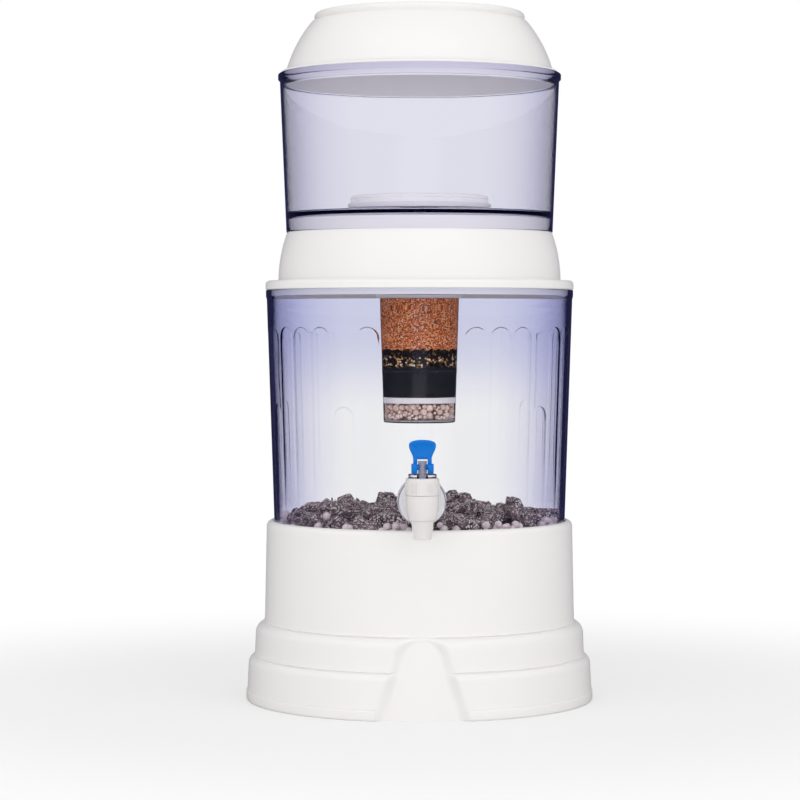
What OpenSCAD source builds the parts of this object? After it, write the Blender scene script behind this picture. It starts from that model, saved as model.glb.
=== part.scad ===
// Gravity water filter with tap: a countertop dispenser made of two clear tanks, a hanging filter
// cartridge, white lids and base, and a lever tap.
// Millimetres. The origin is on the vertical axis at the floor, +Z is up and the tap faces -Y.

/* [Base] */
// radius of the base where it meets the floor
base_foot_r = 145.5; // [144:0.5:150]
// radius of the base's plain upper wall, at the lower step
base_wall_r = 130; // [129:0.5:132]
// height of the base
base_h = 150; // [146:1:154]
// half width of the front niche at the floor
niche_half_w = 36; // [30:1:44]
// wall thickness of the base
base_wall = 3; // [2.4:0.2:3.6]

/* [Lower tank] */
// outer radius of the lower tank under its rim
tank_top_r = 128; // [127:0.5:128.5]
// height of the lower tank's rim above the floor
tank_rim_z = 342.7; // [341:0.1:344]
// depth of the flutes in the lower tank's wall
flute_depth = 1; // [0.6:0.1:1.2]
// wall thickness of the lower tank at its band, above the flutes
tank_wall = 3.6; // [3.2:0.1:4]
// wall thickness of the fluted part of the lower tank
fluted_wall = 2.6; // [2.4:0.1:3]

/* [Upper tank] */
// outer radius of the upper tank at its bottom edge
upper_bottom_r = 111.5; // [110.5:0.5:112]
// outer radius of the upper tank under its rim
upper_top_r = 116.8; // [116:0.2:117.2]
// wall thickness of the upper tank
upper_wall = 3; // [2.6:0.1:3.4]

/* [Cartridge] */
// outer radius of the cartridge's cup at its top
cup_top_r = 33.6; // [32:0.2:34]
// outer radius of the cartridge's cup at its bottom
cup_bottom_r = 30; // [28:0.5:31]
// wall thickness of the cup
cup_wall = 1.6; // [1.2:0.1:2]

/* [Tap] */
// distance of the tap's barrel axis from the vertical axis of the tanks
tap_axis_y = 152; // [150:0.5:156]
// height of the tap's threaded shank
shank_z = 173; // [172:0.5:174]
// width of the lever's paddle
paddle_w = 21.2; // [18:0.2:24]
// height of the lever's hinge
pin_z = 202; // [201.9:0.05:202.1]

/* [Hidden] */
$fn = 96;
eps = 0.01;

white = [0.95, 0.95, 0.93];
clear = [0.72, 0.74, 0.93, 0.4];
grey = [0.6, 0.6, 0.65];
blue = [0.0, 0.42, 0.87];

// base heights: floor lip, lower ring, upper ring and the seat the lower tank stands on
lip_top = 8.5;
ring2_top = 38;
ring1_top = 65.5;
ring2_r = base_foot_r - 2;
ring1_r = base_foot_r - 8;
seat_z = 138;
seat_t = 3;
base_in_r = 122.9;
rib_h = 18;
core_foot_r = base_foot_r - 6;

// lower tank
tank_floor_z = seat_z + 0.3;
tank_draft = (128 - 122) / 185;
tank_band_z = 335;
rim_r = tank_top_r + 1;
flute_pitch = 10;
flute_half = 10.2;
flute_r = (flute_half * flute_half + flute_depth * flute_depth) / (2 * flute_depth);
pad_r = 19.2;
pad_y = 124;
inner_pad_y = 117.5;
shank_r = 8;
flute_top_z = 312;
short_flute_z = 248;
step_z = flute_top_z + 2;
flute_foot_z = 143;

// collar
collar_z = tank_rim_z + 0.3;
collar_ledge_z = 390.4;
dome_c = [1.5, 350];
dome_r = 116.7;

// upper tank
upper_z = collar_ledge_z + 0.3;
upper_floor_z = 402.5;
upper_floor_t = 3.5;
upper_rim_z = 522.6;
boss_r = 24;
boss_z = 385;

// lid
lid_c = [6.9, 496.6];
lid_r = 108.5;
lid_t = 2.5;

// cartridge
cup_z = 230.5;
cup_top_z = 352;

// tap
tap_top_z = 193.4;
bonnet_z = 180;
seat_ring_z = 166;
ring_top_z = 196.6;
cam_gap = 0.25;
cam_lead = 2.2;
cam_rise = 1.02;

function arc(c, r, a0, a1, n) =
    [for (i = [0:n]) [c[0] + r * cos(a0 + (a1 - a0) * i / n), c[1] + r * sin(a0 + (a1 - a0) * i / n)]];

// radius of the lower tank's outside at height z
function tank_r(z) = tank_top_r - (tank_band_z - z) * tank_draft;

// radius of the upper tank's outside at height z
function upper_r(z) =
    upper_bottom_r + (upper_top_r - upper_bottom_r) * (z - upper_z) / (517.5 - upper_z);

// radius of the cartridge cup's outside at height z
function cup_r(z) = cup_bottom_r + (cup_top_r - cup_bottom_r) * (z - cup_z) / (cup_top_z - cup_z);

// a repeatable fraction from 0 to 1 for item i
function rnd(i, k) = let (v = sin(i * 127.1 + k * 311.7) * 437.5453) v - floor(v);

module turned(points) {
    rotate_extrude() polygon(points);
}

module ring(r_out, r_in, z0, z1) {
    turned([[r_in, z0], [r_out, z0], [r_out, z1], [r_in, z1]]);
}

// ---- base ------------------------------------------------------------------------------------

// the arched outline of the front niche, made wider all round by grow
module niche_outline(grow) {
    translate([0, 46]) circle(r = 20 + grow);
    polygon([
        [-niche_half_w - grow, -1], [niche_half_w + grow, -1], [26.5 + grow, 30], [20 + grow, 46],
        [-20 - grow, 46], [-26.5 - grow, 30]
    ]);
}

module niche_prism(grow) {
    translate([0, -100, 0]) rotate([90, 0, 0]) linear_extrude(60) niche_outline(grow);
}

module base_stand() {
    inside = [
        [base_wall_r - base_wall - 2.4, seat_z - seat_t], [base_wall_r - base_wall, ring1_top],
        [core_foot_r - base_wall, -1]
    ];
    color(white) difference() {
        turned(concat(
            [[base_foot_r - 4, 0], [base_foot_r, 0], [base_foot_r, lip_top - 2]],
            arc([base_foot_r - 1.5, lip_top - 1.5], 1.5, 0, 80, 3),
            [[ring2_r + 1.1, lip_top + 0.6]],
            arc([ring2_r - 9.5, ring2_top - 11], 9.5, 0, 80, 6),
            [[ring1_r, ring2_top]],
            arc([ring1_r - 10, ring1_top - 11], 9.6, 0, 75, 6),
            [[base_wall_r, ring1_top]],
            arc([base_wall_r - 6.7, base_h - 5], 5, 0, 90, 5),
            arc([base_in_r + 0.6, base_h - 0.6], 0.6, 90, 180, 2),
            [[base_in_r, seat_z], [0, seat_z], [0, 0]]
        ));
        turned(concat([[0, -1], [0, seat_z - seat_t]], inside));
        // the two rings are hollow behind, except beside the niche
        difference() {
            union() {
                ring(ring2_r - base_wall, 120, -1, ring2_top - base_wall - 2);
                ring(ring1_r - base_wall, 120, ring2_top - base_wall - 2 - eps, ring1_top - base_wall - 5);
            }
            niche_prism(base_wall);
        }
        // the niche carries the upper wall on down through both rings
        difference() {
            niche_prism(0);
            turned([[0, -2], [0, 70], [base_wall_r - 0.3, 70], [base_wall_r, ring1_top], [core_foot_r, -2]]);
        }
    }
    // ribs under the seat, radiating from a hub
    color(white) for (i = [0:7])
        rotate([0, 0, 22.5 + 45 * i]) translate([18, -1.2, seat_z - seat_t - rib_h])
            cube([106.5, 2.4, rib_h + eps]);
    color(white) ring(20, 17, seat_z - seat_t - rib_h, seat_z - seat_t + eps);
}

// ---- lower tank ------------------------------------------------------------------------------

// one flute cutter leaning with the wall, ball-nosed where it meets the wall; top is its arch's height
module flute(top) {
    z0 = flute_foot_z;
    nose = acos((flute_r - flute_depth) / flute_r);
    length = (top - z0) / cos(atan(tank_draft)) - flute_r * sin(nose);
    translate([0, -tank_r(z0) - flute_r + flute_depth, z0]) rotate([atan(tank_draft), 0, 0])
        turned(concat(
            [[0, 0], [flute_r, 0]], arc([0, length], flute_r, 0, nose + 1, 5),
            [[0, length + flute_r * sin(nose + 1)]]
        ));
}

module lower_tank() {
    band = tank_band_z;
    color(clear) difference() {
        union() {
            turned(concat(
                [[0, tank_floor_z]],
                arc([tank_r(tank_floor_z) - 5, tank_floor_z + 5], 5, -90, 0, 5),
                [[tank_r(band), band], [rim_r, band + 0.4], [rim_r, tank_rim_z - 0.8],
                 [rim_r - 0.8, tank_rim_z], [0, tank_rim_z]]
            ));
            // flat round pad that the tap's flange is clamped against
            translate([0, 0, shank_z]) rotate([90, 0, 0]) cylinder(r1 = pad_r + 1, r2 = pad_r, h = pad_y);
        }
        difference() {
            turned([
                [0, tank_floor_z + 3.2], [tank_r(tank_floor_z) - fluted_wall - 4, tank_floor_z + 3.2],
                [tank_r(tank_floor_z + 7) - fluted_wall, tank_floor_z + 7],
                [tank_r(step_z) - fluted_wall, step_z], [tank_r(step_z + 3) - tank_wall, step_z + 3],
                [tank_r(band) - tank_wall, band], [tank_r(band) - tank_wall, tank_rim_z + 1],
                [0, tank_rim_z + 1]
            ]);
            translate([0, -inner_pad_y, shank_z]) rotate([90, 0, 0]) cylinder(r = 16, h = 12);
        }
        translate([0, -100, shank_z]) rotate([90, 0, 0]) cylinder(r = shank_r + 0.4, h = 40);
        for (k = [2:34])
            rotate([0, 0, k * flute_pitch]) flute((k + 3) % 4 == 0 ? short_flute_z : flute_top_z);
    }
}

// an angular stone of radius r, turned by three repeatable angles
module stone(i, r) {
    rotate([360 * rnd(i, 1), 360 * rnd(i, 2), 360 * rnd(i, 3)])
        translate([0, 0, -r * 0.6])
            cylinder(r1 = r, r2 = r * (0.45 + 0.3 * rnd(i, 4)), h = r * (1.1 + 0.4 * rnd(i, 5)), $fn = 5 + i % 3);
}

module mineral_stones() {
    color([0.3, 0.26, 0.25]) {
        turned([[0, 141.8], [109, 141.8], [110, 143], [110, 154], [84, 158], [0, 162]]);
        // the ring of stones along the wall leaves room for the tap's nut
        for (i = [0:35]) if (abs(i - 27) > 1)
            rotate([0, 0, 10 * i + 4 * rnd(i, 6)]) translate([99 - 3 * rnd(i, 7), 0, 157 + 7 * rnd(i, 8)])
                stone(i, 9 + 2.5 * rnd(i, 9));
        for (i = [0:20])
            rotate([0, 0, 17 * i]) translate([76, 0, 160 + 4 * rnd(i, 10)]) stone(i + 50, 10 + 3 * rnd(i, 11));
        for (i = [0:13])
            rotate([0, 0, 26 * i]) translate([50, 0, 161.5 + 4 * rnd(i, 12)]) stone(i + 90, 10 + 3 * rnd(i, 13));
    }
}

module mineral_beads() {
    // two staggered rows along the wall; the upper one stops beside the tap's nut
    color([0.93, 0.9, 0.86]) for (i = [0:71]) if (i != 53 && i != 55)
        rotate([0, 0, 5 * i]) translate([114.2, 0, 149 + 7.6 * (i % 2)]) sphere(r = 3.5);
}

// ---- collar and upper tank -------------------------------------------------------------------

module collar() {
    color(white) turned(concat(
        [[rim_r - 6, collar_z], [rim_r, collar_z]],
        arc([rim_r - 3, collar_z + 4.3], 3, 0, 90, 6),
        [[dome_c[0] + dome_r + 0.4, collar_z + 7.3], [dome_c[0] + dome_r, collar_z + 8]],
        arc(dome_c, dome_r, 1.6, 19.4, 14),
        [[111.3, collar_ledge_z], [106, collar_ledge_z], [106, 396], [105.4, 396.6], [40, 396.6], [40, 384],
         [42.4, 384], [42.4, 394], [101, 394], [104, 392], [107.4, 387]],
        arc(dome_c, dome_r - 2.6, 18.5, 0, 12),
        [[dome_c[0] + dome_r - 2.8, 346], [tank_top_r - 6, 345.6], [tank_top_r - 6.6, 338],
         [tank_top_r - 4.2, 338], [tank_top_r - 4, collar_z]]
    ));
}

module upper_tank() {
    w = upper_wall;
    fz = upper_floor_z;
    ft = fz + upper_floor_t;
    color(clear) difference() {
        turned(concat(
            [[upper_r(upper_z) - w, upper_z], [upper_r(upper_z), upper_z], [upper_r(517.5), 517.5],
             [118.1, 518], [118.3, 521.8], [117.6, upper_rim_z], [113.6, upper_rim_z],
             [113, upper_rim_z - 0.6], [upper_r(517) - w, 517]],
            [[upper_r(ft) - w, ft + 3], [upper_r(ft) - w - 3, ft], [0, ft], [0, fz], [boss_r - 4, fz],
             [boss_r - 4, boss_z], [boss_r - 1.2, boss_z]],
            [for (i = [0:3]) each [
                [boss_r, boss_z + 1.2 + 3.4 * i], [boss_r, boss_z + 2.4 + 3.4 * i],
                [boss_r - 1, boss_z + 3 + 3.4 * i], [boss_r - 1, boss_z + 4 + 3.4 * i]
            ]],
            [[boss_r - 1, fz], [upper_r(fz) - w - 2, fz], [upper_r(fz) - w, fz - 2]]
        ));
        translate([0, 0, fz - 1]) cylinder(r = 6.2, h = 6);
    }
}

module lid() {
    neck = 86.9;
    bead = [84.9, 571];
    color(white) turned(concat(
        [[115.5, 522.9], [115.5, 524.2], [115, 524.8], [112.6, 525.4]],
        arc(lid_c, lid_r, 16, 39.8, 16),
        [[neck, 567.6]],
        arc(bead, 3, -48, 180, 14),
        [[bead[0] - 3, 564.5], [80, 563.2], [0, 562.4], [0, 562.4 - lid_t], [88, 560.4]],
        arc(lid_c, lid_r - lid_t, 36, 16.2, 14),
        [[109.8, 523.5], [110.4, 517.5], [112.2, 517.5], [112.4, 522.9]]
    ));
}

// ---- pre-filter ------------------------------------------------------------------------------

module prefilter_pan() {
    color(white) turned([
        [6.2, 409], [58.6, 409], [60, 410.4], [60, 416.2], [59.4, 416.8], [58.2, 416.8], [58.2, 411.4],
        [6.2, 411.4]
    ]);
}

module prefilter_disc() {
    color([0.97, 0.96, 0.93]) turned(concat(
        [[0, 411.5], [57.8, 411.5]],
        [[57.8, 419.6], [57.2, 420.1], [57.2, 420.6], [57.8, 421.1]],
        arc([55.8, 422], 2, 0, 90, 5),
        [[0, 424]]
    ));
}

module prefilter_gasket() {
    color(grey) ring(16, 6.2, 406.1, 408.9);
}

module prefilter_stem() {
    color(grey) turned(concat(
        [[2.6, 381], [4.8, 381]],
        [for (i = [0:9]) each [[5.6, 382.4 + 2.2 * i], [5.6, 383 + 2.2 * i], [4.8, 383.8 + 2.2 * i]]],
        [[5.6, 404.4], [5.6, 408.95], [6, 408.95], [6, 411.4], [2.6, 411.4]]
    ));
}

module prefilter_wing_nut() {
    color(grey) difference() {
        union() {
            cylinder_at(9, 393.4, 402.3);
            for (s = [0, 180]) rotate([0, 0, s]) translate([0, 0, 391])
                rotate([90, 0, 0]) translate([0, 0, -1.6]) linear_extrude(3.2)
                    polygon([[6, 3], [9, 0], [17, 0], [18, 1.2], [17.4, 8.4], [15, 10], [10, 10], [6, 9]]);
        }
        cylinder_at(5.9, 380, 403);
    }
}

module cylinder_at(r, z0, z1) {
    translate([0, 0, z0]) cylinder(r = r, h = z1 - z0);
}

// ---- cartridge -------------------------------------------------------------------------------

module cartridge_cap() {
    color(white) turned([
        [34.1, 344], [36.4, 344], [36.6, 344.4], [36.6, 355], [35.4, 356.4], [28.4, 358], [28.2, 399],
        [27.4, 400], [24.5, 400], [24.5, 382], [18, 382], [18, 379.4], [25.4, 379.4], [25.4, 358],
        [24, 353.4], [20, 352.2], [34.1, 352.2]
    ]);
}

module cartridge_oring() {
    color([0.1, 0.1, 0.1]) rotate_extrude() translate([22, 383.5]) circle(r = 1.35, $fn = 24);
}

module cartridge_shell() {
    seam = 274.5;
    w = cup_wall;
    color(clear) difference() {
        turned([
            [0, cup_z], [cup_bottom_r - 1, cup_z], [cup_bottom_r, cup_z + 1], [cup_r(seam - 0.8), seam - 0.8],
            [cup_r(seam) + 0.5, seam - 0.4], [cup_r(seam) + 0.5, seam + 0.4], [cup_r(seam + 0.8), seam + 0.8],
            [cup_top_r, cup_top_z], [cup_top_r - w, cup_top_z], [cup_bottom_r - w, cup_z + 1.6],
            [0, cup_z + 1.6]
        ]);
        // outlet slots in the floor of the cup
        for (a = [0:45:315]) rotate([0, 0, a]) translate([10, -1.5, cup_z - 1]) cube([15, 3, 4]);
    }
}

// one level layer of granules or felt that fills the cup from z0 to z1
module layer(z0, z1) {
    gap = cup_wall + 0.15;
    turned([[0, z0], [cup_r(z0) - gap, z0], [cup_r(z1) - gap, z1], [0, z1]]);
}

module cartridge_grate() { color([0.25, 0.24, 0.26]) layer(232.3, 234); }
module cartridge_lower_pad() { color(white) layer(248, 252.9); }
module media_carbon() { color([0.08, 0.08, 0.09]) layer(253, 275.9); }
module media_zeolite() { color([0.3, 0.24, 0.16]) layer(276, 292.9); }
module media_clay() { color([0.78, 0.45, 0.24]) layer(293, 337.4); }
module cartridge_top_pad() { color(grey) layer(337.5, 342.5); }

module mineral_balls() {
    rows = [[24.3, 22], [16.6, 14], [9, 7]];
    color([0.87, 0.8, 0.77]) for (z = [237.6, 244.4]) {
        for (q = rows, i = [0:q[1] - 1])
            rotate([0, 0, 360 * (i + (z > 240 ? 0.5 : 0)) / q[1]]) translate([q[0], 0, z]) sphere(r = 3.35);
        translate([0, 0, z]) sphere(r = 3.35);
    }
}

// ---- tap -------------------------------------------------------------------------------------

module at_tap() {
    translate([0, -tap_axis_y, 0]) children();
}

// a shape turned about the shank's horizontal axis: points are [radius, distance in front of the axis]
module on_shank(points) {
    translate([0, 0, shank_z]) rotate([90, 0, 0]) rotate_extrude() polygon(points);
}

module tap_body() {
    belly = 67.7;
    color(white) difference() {
        union() {
            at_tap() turned(concat(
                [[0, 145.2], [6.6, 145.2], [7, 145.6], [9, 160.5]],
                arc([13.1 - belly, 178], belly, -15, 0, 8),
                [[13.1, 179.8], [11.1, 179.8]],
                [for (i = [0:2]) each [[11.1, 181.4 + 3 * i], [11.5, 182 + 3 * i], [11.5, 182.8 + 3 * i],
                                       [11.1, 183.4 + 3 * i]]],
                [[11.1, 190.4], [0, 190.4]]
            ));
            on_shank(concat(
                [[0, 104], [shank_r - 1.6, 104]],
                [for (i = [0:4]) each [[shank_r - 0.6, 105.6 + 3 * i], [shank_r - 0.6, 106.4 + 3 * i],
                                       [shank_r - 1.2, 107.2 + 3 * i]]],
                [[shank_r, 121], [shank_r, 126], [14.6, 126], [15, 126.4], [15, 128.2], [14, 129.4],
                 [9, 130.6], [7, 132.6], [6.6, 135], [6.6, 142], [0, 142]]
            ));
        }
        // valve chamber, seat and spout bore
        at_tap() cylinder_at(8.6, seat_ring_z - 2, 191);
        at_tap() cylinder_at(5, 144, seat_ring_z);
        on_shank([[0, 100], [4, 100], [4, 146], [0, 146]]);
    }
    color(white) at_tap() ring(6, 5, seat_ring_z - 2 - eps, seat_ring_z);
}

module tap_outer_washer() {
    color(clear) on_shank([
        [shank_r + 0.1, 124.1], [17.8, 124.1], [18.2, 124.5], [18.2, 125.5], [17.8, 125.9], [shank_r + 0.1, 125.9]
    ]);
}

module tap_inner_washer() {
    color(grey) on_shank([[shank_r + 0.1, 115.5], [14.5, 115.5], [14.5, 117.4], [shank_r + 0.1, 117.4]]);
}

module tap_nut() {
    color(white) translate([0, -107.4, shank_z]) rotate([90, 0, 0]) difference() {
        union() {
            cylinder(r = 14, h = 8, $fn = 6);
            translate([0, 0, 6]) cylinder(r = 14.4, h = 2);
        }
        translate([0, 0, -1]) cylinder(r = shank_r - 0.5, h = 10);
    }
}

module tap_bonnet() {
    color(white) at_tap() {
        turned(concat(
            [[11.6, bonnet_z], [13, bonnet_z], [13.2, bonnet_z + 0.3]],
            arc([11.6, tap_top_z - 1.6], 1.6, 0, 90, 5),
            [[2.8, tap_top_z], [2.8, 190.8], [11.6, 190.8]]
        ));
        // grip ribs in groups of three
        for (g = [0:5], i = [-1:1])
            rotate([0, 0, 60 * g - 2 + 9 * i]) translate([12.9, -0.4, 182]) cube([0.8, 0.8, 7.6]);
    }
}

module tap_top_ring() {
    color(clear) at_tap() turned([
        [2.9, 193.5], [10.8, 193.5], [11.2, 194], [11.2, 195.9], [10.6, ring_top_z], [2.9, ring_top_z]
    ]);
}

// closing spring: half turns that each rise by one step, joined by small knuckles
module tap_spring() {
    turns = 5;
    z0 = 173.3;
    z1 = 190.1;
    r = 4.9;
    wire = 0.45;
    step = (z1 - z0 - 2 * wire) / (2 * turns);
    tilt = asin(step / 2 / r);
    color(grey) at_tap() for (i = [0:2 * turns - 1])
        translate([0, 0, z0 + wire + step * (i + 0.5)]) rotate([0, 0, 180 * i]) rotate([0, tilt, 0]) {
            rotate_extrude(angle = 180) translate([r, 0]) circle(r = wire, $fn = 16);
            translate([-r, 0, 0]) sphere(r = wire + 0.03);
        }
}

module tap_plunger() {
    color(grey) at_tap() turned([
        [0, 166.3], [5.4, 166.3], [6.9, 167.8], [6.9, 171.6], [6.3, 172.5], [2.8, 172.5], [2.8, 170.9],
        [4.1, 170.9], [4.1, 168.9], [0, 168.9]
    ]);
}

module tap_stem() {
    color(grey) at_tap() {
        turned([[0, 169], [4, 169], [4, 170.8], [2.6, 170.8], [2.6, 197.6], [0, 197.6]]);
        difference() {
            intersection() {
                translate([-3.6, -2.6, 197.4]) cube([7.2, 5.2, 12]);
                translate([-5, 0, pin_z]) rotate([0, 90, 0]) cylinder(r = 5.6, h = 10);
            }
            // waist that the lever's hinge bosses turn in
            for (s = [-1, 1]) translate([s * 3.9, 0, pin_z]) rotate([0, 90, 0])
                cylinder(r = 3.4, h = 2.8, center = true);
            translate([-5, 0, pin_z]) rotate([0, 90, 0]) cylinder(r = 1.28, h = 10);
        }
    }
}

module tap_pin() {
    color(grey) at_tap() translate([-7.4, 0, pin_z]) rotate([0, 90, 0]) cylinder(r = 1.25, h = 14.8);
}

// half width of the lever's paddle at fraction t of its height
function paddle_half(t) =
    t < 0.7 ? 7.3 + (paddle_w / 2 - 7.3) * (1 - cos(180 * t / 0.7)) / 2
    : paddle_w / 2 * pow(max(0, 1 - pow((t - 0.7) / 0.3, 3)), 0.45);

module tap_handle() {
    cam = pin_z - ring_top_z - cam_gap + cam_rise;
    low = 6.2;
    high = 21.4;
    side = [for (i = [0:22]) let (t = i / 22) [paddle_half(t), low + (high - low) * t]];
    color(blue) at_tap() translate([0, 0, pin_z]) difference() {
        union() {
            // paddle, a little dished at the front
            rotate([90, 0, 0]) translate([0, 0, -2]) linear_extrude(3.8)
                polygon(concat(side, [for (i = [21:-1:0]) [-side[i][0], side[i][1]]]));
            // arms that carry the paddle down to the lobes
            for (s = [-1, 1]) translate([s * 5.65 - 1.65, -1.8, 0]) cube([3.3, 3.8, low + 2]);
            // lobes: round cams that lift the stem as the lever is pulled forward
            for (s = [-1, 1]) translate([s * 6.35, -cam_lead, cam_rise]) rotate([0, 90, 0])
                intersection() {
                    cylinder(r = cam, h = 4.7, center = true);
                    translate([-2.5 + cam_rise, -20, -5]) cube([30, 40, 10]);
                }
            // hinge bosses on the inner faces of the lobes
            for (s = [-1, 1]) translate([s * 3.6, 0, 0]) rotate([0, 90, 0])
                cylinder(r = 2.3, h = 1.8, center = true);
        }
        translate([-7.6, 0, 0]) rotate([0, 90, 0]) cylinder(r = 1.3, h = 15.2);
        translate([0, -41.2, 15]) rotate([0, 90, 0]) cylinder(r = 40, h = 16.6, center = true, $fn = 180);
    }
}

// ---- build -----------------------------------------------------------------------------------

base_stand();
lower_tank();
mineral_stones();
mineral_beads();
collar();
upper_tank();
lid();
prefilter_pan();
prefilter_disc();
prefilter_gasket();
prefilter_stem();
prefilter_wing_nut();
cartridge_cap();
cartridge_oring();
cartridge_shell();
cartridge_top_pad();
media_clay();
media_zeolite();
media_carbon();
cartridge_lower_pad();
mineral_balls();
cartridge_grate();
tap_body();
tap_outer_washer();
tap_inner_washer();
tap_nut();
tap_bonnet();
tap_top_ring();
tap_spring();
tap_plunger();
tap_stem();
tap_pin();
tap_handle();
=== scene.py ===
"""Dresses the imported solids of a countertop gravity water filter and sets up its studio."""

import logging
import math
import random
from dataclasses import dataclass, field
from enum import Enum
from typing import Any, Iterable, Sequence

import bmesh
import bpy
from mathutils import Matrix, Vector, noise


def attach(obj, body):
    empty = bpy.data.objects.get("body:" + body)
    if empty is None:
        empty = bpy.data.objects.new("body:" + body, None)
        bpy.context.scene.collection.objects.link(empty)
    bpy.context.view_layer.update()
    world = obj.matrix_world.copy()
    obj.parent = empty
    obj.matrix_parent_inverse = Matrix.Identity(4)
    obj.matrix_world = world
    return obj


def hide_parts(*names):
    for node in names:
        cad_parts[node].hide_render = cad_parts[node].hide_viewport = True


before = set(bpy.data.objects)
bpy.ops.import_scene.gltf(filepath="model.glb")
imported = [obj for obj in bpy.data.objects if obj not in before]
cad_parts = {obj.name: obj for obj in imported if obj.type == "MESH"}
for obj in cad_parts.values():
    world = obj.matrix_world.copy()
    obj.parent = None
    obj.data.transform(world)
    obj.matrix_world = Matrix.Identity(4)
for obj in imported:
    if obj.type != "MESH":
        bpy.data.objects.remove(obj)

LOG = logging.getLogger("water_filter")
MM = 0.001  # every size below is in millimetres and becomes metres as a piece is finished
FULL_TURN = 2.0 * math.pi
MERGE = 1e-4  # points closer than this are one
SHANK_Z = 173.0  # the tap's shank runs through the lower tank's wall at this height

Point = tuple[float, float]
Profile = list[Point]
Mesh = bmesh.types.BMesh
Tree = bpy.types.NodeTree
Node = bpy.types.Node
Socket = bpy.types.NodeSocket
Links = dict[int | str, Any]


class Body(str, Enum):
    """The bodies that pieces ride on."""

    BASE = "base"
    LOWER_TANK = "lower_tank_unit"
    COLLAR = "collar_unit"
    UPPER_TANK = "upper_tank_unit"
    LID = "lid_unit"
    STEM = "valve_stem"
    LEVER = "lever"


# ---- mesh tools -------------------------------------------------------------------------------


def arc(centre: Point, radius: float, start: float, end: float, count: int) -> Profile:
    """Both ends and the steps between them of an arc, at angles in degrees from the outward direction."""
    angles = (math.radians(start + (end - start) * i / count) for i in range(count + 1))
    return [(centre[0] + radius * math.cos(a), centre[1] + radius * math.sin(a)) for a in angles]


def rise(start: Point, end: Point, count: int) -> Profile:
    """Evenly spaced points from start up to, but without, end."""
    return [(start[0] + (end[0] - start[0]) * i / count, start[1] + (end[1] - start[1]) * i / count)
            for i in range(count)]


def offset(r: float, z: float, rows: Iterable[Point]) -> Profile:
    """Moves points outwards by r and up by z."""
    return [(r + dr, z + dz) for dr, dz in rows]


def smooth(share: float) -> float:
    """Eases a share: 0 up to 0, 1 from 1 on, and gentle at both ends between."""
    t = min(1.0, max(0.0, share))
    return t * t * (3 - 2 * t)


def only(items: Iterable[Any], kind: type) -> list[Any]:
    """The items of one kind in the result of an operator."""
    return [item for item in items if isinstance(item, kind)]


def sealed(bm: Mesh) -> Mesh:
    """Merges points that coincide and turns all faces outwards."""
    bmesh.ops.remove_doubles(bm, verts=bm.verts, dist=MERGE)
    bmesh.ops.recalc_face_normals(bm, faces=bm.faces)
    return bm


def spun(profile: Sequence[Point], steps: int) -> Mesh:
    """Turns a profile round the vertical axis and closes it, unless both its ends lie on the axis.

    Args:
        profile: radius and height of each point.
        steps: number of steps in the full turn.

    Returns:
        The turned mesh.
    """
    bm = bmesh.new()
    verts = [bm.verts.new((r, 0.0, z)) for r, z in profile]
    edges = [bm.edges.new(pair) for pair in zip(verts, verts[1:])]
    if profile[0][0] or profile[-1][0]:
        edges.append(bm.edges.new((verts[-1], verts[0])))
    bmesh.ops.spin(bm, geom=verts + edges, cent=(0, 0, 0), axis=(0, 0, 1), angle=FULL_TURN, steps=steps,
                   use_merge=True)
    return sealed(bm)


def moved(bm: Mesh, matrix: Matrix) -> Mesh:
    """Places a whole mesh with a matrix."""
    bmesh.ops.transform(bm, matrix=matrix, verts=bm.verts)
    return bm


def on_shank(profile: Profile, steps: int) -> Mesh:
    """Turns a profile of radius and distance in front of the tanks' axis about the tap's shank."""
    turn = Matrix.Translation((0, 0, SHANK_Z)) @ Matrix.Rotation(math.pi / 2, 4, "X")
    return moved(spun(profile, steps), turn)


def ball(centre: Vector, radius: float) -> Mesh:
    """A ball of few faces, since balls are many."""
    bm = bmesh.new()
    bmesh.ops.create_icosphere(bm, subdivisions=2, radius=radius)
    return moved(bm, Matrix.Translation(centre))


def block(size: Sequence[float], centre: Sequence[float], edge: float) -> Mesh:
    """A box with rounded edges.

    Args:
        size: length along each axis.
        centre: the box's middle.
        edge: radius of its edges.

    Returns:
        The box.
    """
    bm = bmesh.new()
    bmesh.ops.create_cube(bm, size=1.0)
    bmesh.ops.scale(bm, vec=size, verts=bm.verts)
    bmesh.ops.bevel(bm, geom=bm.edges, offset=edge, segments=3, profile=0.5, affect="EDGES", material=-1)
    return moved(bm, Matrix.Translation(centre))


def drum(radius: float, length: float, edge: float, segments: int) -> Mesh:
    """A cylinder along X, centred, with rounded rims.

    Args:
        radius: its radius.
        length: its length.
        edge: radius of its rims.
        segments: number of sides.

    Returns:
        The drum.
    """
    half = length / 2
    rim = arc((radius - edge, half - edge), edge, 0, 90, 3)
    profile = [(0.0, -half)] + [(r, -z) for r, z in reversed(rim)] + rim + [(0.0, half)]
    return moved(spun(profile, segments), Matrix.Rotation(math.pi / 2, 4, "Y"))


def stored(bm: Mesh, name: str) -> bpy.types.Mesh:
    """Writes a mesh into Blender's data under a name, and frees it."""
    mesh = bpy.data.meshes.new(name)
    bm.to_mesh(mesh)
    bm.free()
    return mesh


def placed(name: str, data: bpy.types.ID) -> bpy.types.Object:
    """Adds an object with its data to the scene."""
    obj = bpy.data.objects.new(name, data)
    bpy.context.scene.collection.objects.link(obj)
    return obj


def joined(parts: Iterable[Mesh]) -> Mesh:
    """Puts several meshes into one and frees them.

    Args:
        parts: the meshes to join.

    Returns:
        One mesh with all their faces.
    """
    whole = bmesh.new()
    for part in parts:
        carrier = stored(part, "carrier")
        whole.from_mesh(carrier)
        bpy.data.meshes.remove(carrier)
    return whole


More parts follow.
